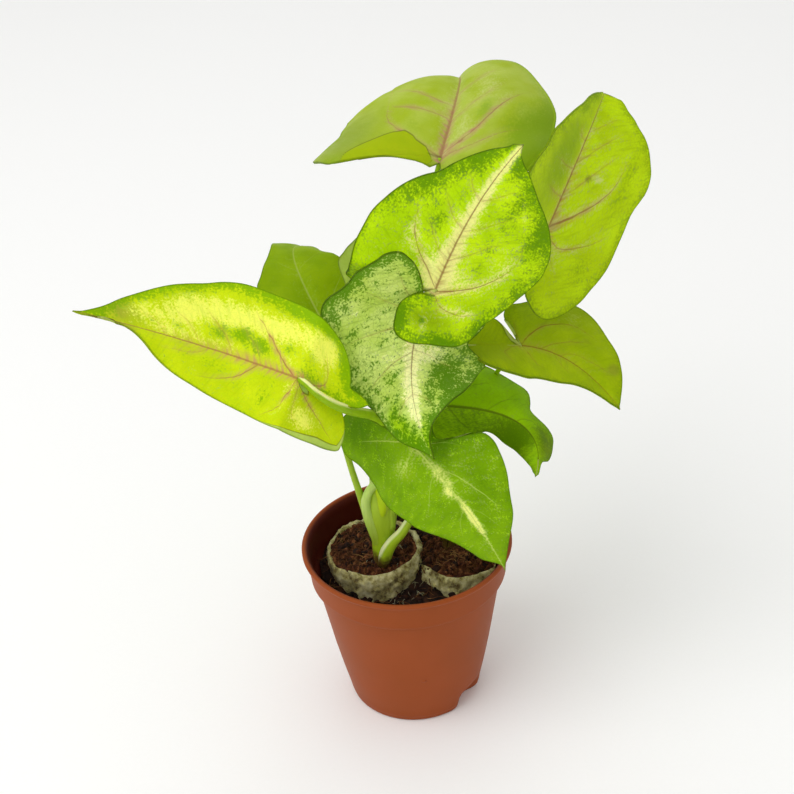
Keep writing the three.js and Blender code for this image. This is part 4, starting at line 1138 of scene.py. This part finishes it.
LONG_STALK = [(-24.2, -24.2, 122.0), (-22.8, -25.6, 122.0), (-21.1, -26.6, 120.6), (-19.1, -27.0, 118.6),
              (-16.5, -26.6, 116.1), (-13.3, -25.0, 113.1), (-9.7, -21.2, 109.3), (-6.8, -17.3, 105.8),
              (-3.6, -13.0, 100.0), (-2.4, -7.0, 88.0), (-4.6, -2.6, 70.0), (-7.2, -1.0, 57.0)]
make_ridged_stem("leaf_long_left_stalk", LONG_STALK,
                 [0.7, 1.0, 1.25, 1.3, 1.3, 1.25, 1.2, 1.2, 1.2, 1.2, 1.3, 1.6],
                 STALK_SKIN, ["leaf_long_left"], ridge=(0.35, -0.35, 0.9), sharp=0.78, count=90)

# %% [markdown]
# ## Crown and shoot
# Low down the stalks widen to sheaths that clasp each other in one pale, fleshy trunk. One
# sheath bulges on the left and hooks over the younger, yellower stalk inside. Another leans out
# to the right, with an almost white ridge. Their feet are stained by the soil.

# %% Crown
HOOK_SKIN = stalk_skin("pale_sheath_skin", "b0cc3a", "c4de74", "e2e8ac", "5c4a1c", 54.0, 66.0)
INNER_SKIN = stalk_skin("inner_young_stalk_skin", "b0cc2a", "bcd81a", "e6ee9c", "6f5f24", 50.0, 66.0)


def make_crown_part(name, places, radii, material, ridge=None):
    make_ridged_stem("crown_" + name, places, radii, material, ["crown"], ridge)


make_crown_part("trunk",
                [(-7.4, 0.6, 42), (-7.2, 0.8, 46), (-6.9, 1.0, 50), (-6.6, 1.0, 53.3), (-6.7, 1.0, 57),
                 (-7.0, 1.0, 61.5), (-6.9, 1.0, 66.3), (-6.1, 1.2, 71), (-4.7, 2.0, 77)],
                [2.2, 2.7, 3.1, 3.6, 4.1, 4.2, 3.7, 2.8, 2.0], SHEATH_SKIN)
make_crown_part("inner_stalk",
                [(-6.6, -1.6, 60.8), (-6.3, -2.2, 63.5), (-6.0, -2.0, 67), (-6.0, -1.0, 71.5),
                 (-5.4, 1.0, 79)],
                [0.7, 1.4, 1.9, 2.0, 1.5], INNER_SKIN)
make_crown_part("hooked_sheath",
                [(-7.6, 0.4, 49), (-8.2, -0.2, 53.6), (-9.0, -0.7, 57.5), (-10.1, -1.3, 62),
                 (-10.7, -1.7, 66.3), (-10.2, -1.8, 69.3), (-8.9, -1.6, 71.6), (-7.0, -1.0, 72.8),
                 (-4.8, 0.4, 73.4)],
                [1.2, 1.8, 2.0, 1.9, 1.6, 1.35, 1.25, 1.2, 0.9], HOOK_SKIN)
make_crown_part("side_sheath",
                [(-7.0, -1.4, 44.6), (-6.3, -2.8, 48.4), (-5.4, -3.2, 51.2), (-3.6, -3.2, 54.1),
                 (-1.5, -3.2, 56.4), (0.1, -3.1, 58.8), (1.6, -3.0, 61.6), (3.2, -2.4, 66)],
                [1.3, 1.75, 1.75, 1.55, 1.35, 1.2, 1.05, 0.9], SHEATH_SKIN, ridge=(-0.85, -0.15, 0.5))
make_shell("young_shoot", [(12.4, 8.5, 36), (12.5, 8.4, 43), (12.9, 8.5, 49), (13.4, 8.9, 55)],
           [1.9, 2.1, 2.4, 2.2], [(1, -359), (1, -359), (0, -340), (-20, -290)], (-0.4, -0.9, 0.0),
           SHEATH_SKIN, ["shoot"], wall=0.6)
print("crown and shoot made")

# %% [markdown]
# ## The pot
# A thin injection-moulded nursery pot: a plain taper, a deeper skirt under a rolled lip, and
# hollows at the base edge where water drains. It is drawn as one outline turned round the
# axis. The hollows are pressed in by moving each corner towards the axis.

# %% Pot
POT_OUTLINE = [
    (0, 0), (12, 0), (17.6, 0), (18.6, 0.2), (18.95, 0.7), (19.05, 1.3), (19.1, 1.5), (19.25, 1.7),
    (19.4, 2.3), (19.6, 3.5), (19.9, 5.0), (20.35, 7.0), (21.3, 11.4), (22.9, 19.6), (24.3, 27.9),
    (25.7, 36.1),
    (26.5, 40.9), (26.7, 41.8), (27.1, 42.1), (27.8, 42.15), (28.05, 42.4), (28.1, 43.2), (28.45, 46.8),
    (28.8, 50.1), (29.1, 50.5), (29.8, 50.7), (30, 51.1), (30, 51.6), (29.8, 51.9), (29.5, 52),
    (28.9, 51.9), (28.4, 51.4), (27.8, 50.2), (27.6, 46.6), (27.2, 42.8), (26.5, 42.0), (25.8, 41.3),
    (24.9, 36.1), (23.4, 27.9), (22.0, 19.6), (20.5, 11.4), (19.0, 4.8), (18.2, 2.9), (17.0, 1.6),
    (10, 1.6), (0, 1.6),
]
DRAIN_ANGLES = (55, 235)   # degrees round the pot, from the front towards the right
DRAIN_DEPTH = 2.6
DRAIN_WIDTH = (0.36, 0.06)  # radians from a hollow's middle: where it starts, where it is full
DRAIN_HEIGHT = (7.2, 2.6)  # the same for its height
SHADE_AND_SOIL_RADII = (29.4, 28.3)  # between these radii, inside the lip, the painted shade and soil stain begin
GATE_Z = 18.4              # height of the mark where the melt entered


def refine(outline, longest):
    """Adds points so that no stretch of an outline is longer than longest."""
    points = [outline[0]]
    for a, b in zip(outline, outline[1:]):
        pieces = max(1, int(math.ceil(math.dist(a, b) / longest)))
        points += [(a[0] + (b[0] - a[0]) * k / pieces, a[1] + (b[1] - a[1]) * k / pieces)
                   for k in range(1, pieces + 1)]
    return np.array(points)


def drain_push(angle, z):
    """How far the wall is pressed in at a compass angle and height."""
    push = np.zeros_like(angle)
    for centre in DRAIN_ANGLES:
        off = (angle - math.radians(centre) + math.pi) % (2 * math.pi) - math.pi
        push = push + DRAIN_DEPTH * smooth_step(*DRAIN_WIDTH, np.abs(off)) * smooth_step(*DRAIN_HEIGHT, z)
    return push


def moulded_plastic(name):
    """Injection-moulded polypropylene: even satin gloss, slightly cloudy, with a very fine tooth,
    and inside, from just below the lip, painted shade for the shade under the leaves, streaked like a film
    of dark, wet soil, that hides the bright plastic."""
    paint = Recipe(name)
    spot = paint.place()
    clouds = paint.noise(spot, 60.0, 3.0)
    fine = paint.noise(spot, 2200.0, 2.0)
    smear = paint.noise(paint.stretched(spot, 140.0, 140.0, 420.0), 1.0, 4.0)
    inside = paint.stored("inside")[0]
    body = paint.blend(paint.ramp(clouds, 0.3, 0.7), "924518", "9a4a20")
    # Painted shade: below the lip the inner wall is darkened for the shade under the leaves, in streaks like
    # a film of soil.
    shade_and_soil = paint.ramp(paint.math("MULTIPLY_ADD", smear, 0.9, inside), 0.35, 0.8)
    body = paint.blend(paint.math("MULTIPLY", shade_and_soil, inside), body, "4a140a")
    rough = paint.ramp(clouds, 0.3, 0.7, 0.46, 0.54)
    return paint.finish(body, rough, paint.bump(fine, 0.08, 0.1), 0.14, IOR=1.49)


POLYPROPYLENE = moulded_plastic("moulded_polypropylene")


def make_pot():
    sides = 160
    outline = refine(POT_OUTLINE, 1.6)[1:-1]
    lip = int(np.argmax(outline[:, 1]))
    angles = circle(sides)
    rings, inside = [], []
    for k, (r, z) in enumerate(outline):
        radius = r - drain_push(angles, np.full(sides, z)) * min(1.0, max(0.0, (r - 12) / 4))
        rings.append(np.stack([radius * np.sin(angles), -radius * np.cos(angles), np.full(sides, z)], -1))
        # How far a point of the inner wall lies under the painted shade and soil stain.
        depth = smooth_step(*SHADE_AND_SOIL_RADII, r) if k > lip else 0.0
        inside.append(np.tile((float(depth), 0.0, 0.0), (sides, 1)))
    piece = make_piece("pot_body", np.concatenate(rings), ring_faces(len(outline), sides),
                       POLYPROPYLENE, ["pot"])
    point_values(piece, "inside", np.concatenate(inside))
    return piece


def make_gate_mark():
    """The small round mark where the melt entered the mould, low on the front wall."""
    angles, middle_x, wall_y, lean = circle(20), 2.2, 22.56, 0.17
    rings = []
    for radius, out in ((0.8, -0.15), (0.65, 0.04), (0.4, 0.12), (0.15, 0.14)):
        x, z = radius * np.cos(angles), radius * np.sin(angles)
        rings.append(np.stack([middle_x + x, -(wall_y + out) - lean * z, GATE_Z + z], -1))
    make_piece("pot_gate_mark", np.concatenate(rings), ring_faces(len(rings), len(angles)), POLYPROPYLENE,
               ["pot"])


pot = make_pot()
make_gate_mark()
print("pot faces:", len(pot.data.polygons))

# %% [markdown]
# ## Soil, coir and fleece
# The two starter plugs are cores of coir, a reddish coconut fibre, in a sleeve of thin
# non-woven fleece that has gone mossy. Dark soil fills the pot round them. Their surfaces are
# dull, and change their tone from crumb to crumb and from thread to thread.

# %% Rough materials
def rough_ground(name, dark, middle, light, lump_mm, bump_mm):
    """Crumbly organic matter: dull, in three tones that change from crumb to crumb."""
    paint = Recipe(name)
    spot = paint.place()
    lumps = paint.noise(spot, 1 / (lump_mm * MM), 6.0, Roughness=0.65)
    specks = paint.noise(spot, 2.6 / (lump_mm * MM), 4.0)
    tone = paint.tones(lumps, (0.36, dark), (0.52, middle), (0.68, light))
    height = paint.math("MULTIPLY_ADD", specks, 0.5, lumps)
    return paint.finish(tone, 0.85, paint.bump(height, 0.9, bump_mm), 0.25)


def mossy_fleece(name):
    """Thin matted non-woven: grey-green with moss, brown where soil sticks, fuzzy with fibres."""
    paint = Recipe(name)
    spot = paint.place()
    clouds = paint.noise(spot, 300.0, 6.0, Roughness=0.72)
    threads = paint.noise(spot, 900.0, 3.0, Distortion=3.0)
    tone = paint.tones(clouds, (0.38, "6e5b26"), (0.45, "b4a864"), (0.54, "d8ce90"), (0.66, "eee8b4"))
    line = paint.math("ABSOLUTE", paint.math("SUBTRACT", threads, 0.5))
    line = paint.ramp(line, 0.0, 0.03, 0.5, 0.0)
    height = paint.math("MULTIPLY_ADD", line, 0.8, clouds)
    return paint.finish(paint.blend(line, tone, "b4ae8c"), 0.9, paint.bump(height, 0.8, 0.6), 0.2,
                        Sheen_Weight=0.1, Sheen_Roughness=0.6)


SOIL = rough_ground("dark_moist_soil", "120704", "26120a", "43240f", 2.4, 1.0)
COIR = rough_ground("reddish_coir", "2a1206", "562a10", "a06a40", 1.7, 1.2)
THREAD = rough_ground("coir_threads", "3a200e", "5e3819", "9c7446", 5.0, 0.1)
PALE_THREAD = rough_ground("fleece_threads", "8a8462", "a8a284", "cfc9ac", 5.0, 0.1)
FLEECE = mossy_fleece("mossy_fleece")

# %% [markdown]
# ## Bumpy ground
# The soil and the coir are discs with lumps of two sizes, and a skirt that hides their edge.
# The soil lies lower in front. Every ground piece is kept inside the pot's wall.

# %% Ground surfaces
PLUGS = {
    "left": dict(top=(-10.0, 8.2, 43.6), radius=13.5, foot=(-8.0, 3.0, 10.0), foot_radius=9.0,
                 mound=1.6, rim=0.0),
    "right": dict(top=(15.3, 7.8, 43.0), radius=12.6, foot=(9.8, 3.0, 10.0), foot_radius=8.3,
                  mound=3.4, rim=-3.2),
}
POT_INSIDE = ((10.0, 20.2), (41.3, 25.6), (42.8, 26.9), (52.0, 28.6))  # height and radius
SOIL_LEVEL = 41.4
SOIL_DIP = 6.6             # how much lower the soil lies in front
COIR_SEED = 11


def inside_pot(points, gap):
    """Pulls points back so that they stay inside the pot."""
    points = np.array(points, float)
    limit = np.interp(points[:, 2], *zip(*POT_INSIDE)) - gap
    reach = np.hypot(points[:, 0], points[:, 1])
    points[:, :2] *= np.minimum(1, limit / np.maximum(reach, 1e-6))[:, None]
    return points


def ground_height(x, y):
    """Height of the soil round the plugs, lower in front."""
    flat = np.stack([x, y, np.zeros_like(x)], -1)
    level = SOIL_LEVEL - SOIL_DIP * smooth_step(6.0, -6.0, y)
    return level + 1.0 * wander(flat, 5.0, 1.0) + 0.7 * wander(flat, 2.2, 2.0) - 0.03 * x


def coir_height(plug, x, y, seed):
    """Height of the coir in a plug: a low mound, sunken towards its sleeve."""
    centre = plug["top"]
    off = np.hypot(x - centre[0], y - centre[1]) / plug["radius"]
    flat = np.stack([x, y, np.zeros_like(x)], -1)
    mound = plug["mound"] * (1 - off ** 2)
    level = centre[2] + plug["rim"] - 0.4 + mound
    return level + 0.8 * wander(flat, 4.0, seed) + 0.5 * wander(flat, 1.6, seed + 5)


def make_disc(name, centre, radius, height, material, nodes, skirt):
    """A bumpy round surface with a skirt down to a lower level."""
    rings, sides = 44, 120
    angles = circle(sides)
    corners = []
    for k in range(1, rings + 1):
        r = radius * k / rings
        x, y = centre[0] + r * np.cos(angles), centre[1] + r * np.sin(angles)
        corners.append(np.stack([x, y, height(x, y)], -1))
    corners.append(corners[-1] * (1, 1, 0) + (0, 0, skirt))
    corners = inside_pot(np.concatenate(corners), 0.15)
    return make_piece(name, corners, ring_faces(rings + 1, sides), material, nodes)


make_disc("soil_bed", (0, 0), 26.5, ground_height, SOIL, ["soil"], 30.0)
for seed, (side, plug) in enumerate(PLUGS.items(), COIR_SEED):
    make_disc(f"coir_{side}", plug["top"], plug["radius"] - 0.6, lambda x, y: coir_height(plug, x, y, seed),
              COIR, [f"plug_core_{side}"], 36.0)


# %% [markdown]
# ## Fleece sleeves
# A sleeve is an outline of its wall, slack rim and turned-in hem, carried round the plug. It
# leans as the plug does, sinks at the front, and is crumpled by noise of several sizes.

# %% Fleece sleeves
FLEECE_PROFILE = [(0.2, 33.0), (0.4, 36.0), (0.6, 38.5), (0.8, 40.5), (0.7, 42.2), (0.3, 43.5), (-0.5, 44.3),
                  (-1.3, 44.3), (-2.0, 43.7), (-2.3, 42.9), (-2.3, 41.5), (-2.2, 39.5)]
SLACK_RADIUS = 8           # size of the circle on which the noise of the rim is read


def make_sleeve(side, seed, fold):
    """A sleeve of fleece; fold is how much of the hem's width is turned in."""
    plug, sides = PLUGS[side], 200
    angles = circle(sides)
    round_x, round_y = np.cos(angles), np.sin(angles)
    top, foot = np.array(plug["top"]), np.array(plug["foot"])
    rings = []
    for out, z in refine(FLEECE_PROFILE, 0.8):
        share = (z - foot[2]) / (top[2] - foot[2])
        centre = foot + (top - foot) * share
        radius = plug["foot_radius"] + (plug["radius"] - plug["foot_radius"]) * min(1.0, share)
        front = np.clip(-round_y * 0.8 + 0.45, 0, 1)
        inward = out * fold if out < 0 else out
        slack = np.stack([SLACK_RADIUS * round_x, SLACK_RADIUS * round_y, np.full(sides, 0.2 * z)], -1)
        lift = smooth_step(33, 42, z) * (1.3 * wander(slack, 4.5, seed) + plug["rim"] - 1.0 * front + 0.3)
        reach = radius + inward + 0.7 * wander(slack, 3.0, seed + 3)
        ring = np.stack([centre[0] + reach * round_x, centre[1] + reach * round_y, z + lift], -1)
        crease = 0.6 * wander(ring, 1.9, seed + 7) + 0.4 * wander(ring, 0.9, seed + 9)
        rings.append(ring + np.stack([crease * round_x, crease * round_y, 0.5 * crease], -1))
    corners = inside_pot(np.concatenate(rings), 0.3)
    make_piece(f"fleece_{side}", corners, ring_faces(len(rings), sides, closed=False), FLEECE,
               [f"plug_sleeve_{side}"])


make_sleeve("left", 21.0, 0.5)
make_sleeve("right", 31.0, 0.4)


# %% [markdown]
# ## Crumbs and threads
# Loose crumbs and stray fibres lie on everything, and they make the surface look real at a
# glance. They are scattered at random, from a seed that always gives the same places.

# %% Crumbs and threads
SCATTER_REACH = 25.0


def surface_height(x, y):
    """Height of whatever lies uppermost: soil or coir."""
    height = ground_height(x, y)
    for seed, plug in enumerate(PLUGS.values(), COIR_SEED):
        within = np.hypot(x - plug["top"][0], y - plug["top"][1]) < plug["radius"] - 1.8
        height = np.where(within, coir_height(plug, x, y, seed), height)
    return height


def scatter(random, count, centre, reach):
    """Random places on the ground within reach of a centre."""
    turn, r = random.uniform(0, 2 * math.pi, count), reach * np.sqrt(random.uniform(0, 1, count))
    places = np.stack([centre[0] + r * np.cos(turn), centre[1] + r * np.sin(turn)], -1)
    places = places[np.hypot(places[:, 0], places[:, 1]) < SCATTER_REACH]
    return np.column_stack([places, surface_height(places[:, 0], places[:, 1])])


CRUMB_CORNERS = [(1, 0, 0), (-1, 0, 0), (0, 1, 0), (0, -1, 0), (0, 0, 1), (0, 0, -1)]
CRUMB_FACES = [(0, 2, 4), (2, 1, 4), (1, 3, 4), (3, 0, 4), (2, 0, 5), (1, 2, 5), (3, 1, 5), (0, 3, 5)]


def crumb(random, size):
    """One irregular crumb with 32 faces."""
    corners, split = list(CRUMB_CORNERS), []
    for a, b, c in CRUMB_FACES:
        mids = [tuple(unit(np.array(corners[i], float) + np.array(corners[j])))
                for i, j in ((a, b), (b, c), (c, a))]
        first = len(corners)
        corners += mids
        split += [(a, first, first + 2), (first, b, first + 1), (first + 2, first + 1, c),
                  (first, first + 1, first + 2)]
    stretched = random.uniform(0.5, 1.1, 3) * size
    bumps = 1 + 0.35 * wander(corners, 0.6, random.uniform(0, 50))
    return np.array(corners) * bumps[:, None] * stretched, split


def make_crumbs(name, seed, count, centre, reach, sizes, material, nodes):
    random = np.random.default_rng(seed)
    corners, faces, total = [], [], 0
    for place in scatter(random, count, centre, reach):
        size = random.uniform(*sizes) * random.uniform(0.5, 1.0)
        own, split = crumb(random, size)
        corners.append(own + place + (0, 0, 0.3 * size))
        faces += [tuple(i + total for i in f) for f in split]
        total += len(own)
    make_piece(name, inside_pot(np.concatenate(corners), 0.2), faces, material, nodes)


def make_threads(name, seed, count, centre, reach, lengths, thickness, lift, material, nodes):
    """Stray fibres: thin crooked threads that lie on the ground or stick up a little."""
    random = np.random.default_rng(seed)
    steps, sides = 9, 4
    along = np.linspace(-0.5, 0.5, steps)
    corners, faces = [], []
    for place in scatter(random, count, centre, reach):
        length, turn = random.uniform(*lengths), random.uniform(0, 2 * math.pi)
        bow = random.uniform(-1.6, 1.6)
        angle = turn + bow * along + 0.5 * np.sin(along * random.uniform(4, 9) + random.uniform(0, 6))
        run = np.cumsum(np.stack([np.cos(angle), np.sin(angle)], -1), axis=0) * length / steps
        line = place[:2] + run - run[steps // 2]
        arch = random.uniform(0, lift) * (1 - (2 * along + random.uniform(-0.8, 0.8)) ** 2)
        height = surface_height(line[:, 0], line[:, 1])
        height = 0.5 * height + 0.5 * height.mean() + 0.35 + np.clip(arch, -0.2, None)
        radius = thickness * random.uniform(0.6, 1.2) * np.sin(np.linspace(0.5, 2.6, steps))
        faces += ring_faces(steps, sides, first=len(corners) * steps * sides)
        corners.append(tube_corners(np.column_stack([line, height]), radius, sides, across=(0.1, 0.2, 1.0)))
    make_piece(name, inside_pot(np.concatenate(corners), 0.2), faces, material, nodes)


LEFT, RIGHT = PLUGS["left"]["top"][:2], PLUGS["right"]["top"][:2]
LEFT_CORE, RIGHT_CORE, BED = ["plug_core_left"], ["plug_core_right"], ["soil"]
make_crumbs("soil_crumbs", 3, 620, (0, 0), SCATTER_REACH, (0.5, 1.5), SOIL, BED)
make_crumbs("coir_crumbs_left", 4, 420, LEFT, 12.6, (0.4, 1.3), COIR, LEFT_CORE)
make_crumbs("coir_crumbs_right", 5, 420, RIGHT, 12.0, (0.4, 1.4), COIR, RIGHT_CORE)
make_crumbs("coir_chips_left", 14, 80, LEFT, 12.0, (0.3, 0.9), THREAD, LEFT_CORE)
make_crumbs("coir_chips_right", 15, 80, RIGHT, 11.5, (0.3, 0.9), THREAD, RIGHT_CORE)
make_threads("coir_threads_left", 6, 200, LEFT, 11.5, (2, 7), 0.12, 1.4, THREAD, LEFT_CORE)
make_threads("coir_threads_right", 7, 200, RIGHT, 11.0, (2, 7), 0.12, 1.3, THREAD, RIGHT_CORE)
make_threads("soil_threads", 8, 240, (0, 0), SCATTER_REACH, (3, 10), 0.13, 1.8, THREAD, BED)
make_threads("fleece_threads_left", 9, 46, (LEFT[0] + 6, LEFT[1] - 9), 9.0, (1.5, 4), 0.08, 1.2, PALE_THREAD,
             ["plug_sleeve_left"])
print("ground made")

# %% [markdown]
# ## The studio
# A pale floor that curves up behind, a broad soft light from above on the left, a weak one in
# front and one above the back, and a bright even surround, so that the leaves glow.

# %% Floor, lights and surround
SURROUND_POWER = 0.62


def make_floor():
    width, depth, rise, bow = 3.0, 1.4, 1.6, 0.5
    profile = [(-depth, 0.0), (depth, 0.0)]
    profile += [(depth + bow * math.sin(a), bow * (1 - math.cos(a)))
                for a in np.linspace(0.15, math.pi / 2, 10)]
    profile += [(depth + bow, rise)]
    corners = [(x, y, z) for y, z in profile for x in (-width, width)]
    faces = [(2 * k, 2 * k + 1, 2 * k + 3, 2 * k + 2) for k in range(len(profile) - 1)]
    paint = Recipe("pale_paper_backdrop")
    paper = paint.blend(paint.noise(paint.place(), 900.0, 4.0), "fbfbf9", "fefefd")
    floor = smooth_mesh("floor", corners, faces, paint.finish(paper, 0.9))


def make_light(name, place, target, size, power):
    data = bpy.data.lights.new(name, "AREA")
    data.shape = "DISK"
    data.size = size
    data.energy = power
    light = add_object(name, data)
    light.location = place
    light.rotation_euler = (Vector(target) - Vector(place)).to_track_quat("-Z", "Y").to_euler()


make_floor()
make_light("key_left", (-0.62, -0.45, 1.2), (0, 0, 0.1), 1.2, 8.6)
make_light("fill_front", (-0.3, -1.1, 0.5), (0, 0, 0.1), 1.0, 0.8)
make_light("top_back", (0.1, 0.5, 1.2), (0, 0, 0.12), 0.9, 1.6)

world = bpy.data.worlds.new("studio_surround")
world.use_nodes = True
surround = world.node_tree.nodes["Background"].inputs
surround["Color"].default_value = (1.0, 1.0, 1.0, 1.0)
surround["Strength"].default_value = SURROUND_POWER
bpy.context.scene.world = world
bpy.context.scene.view_settings.view_transform = "Standard"
print("lights:", len(bpy.data.lights))
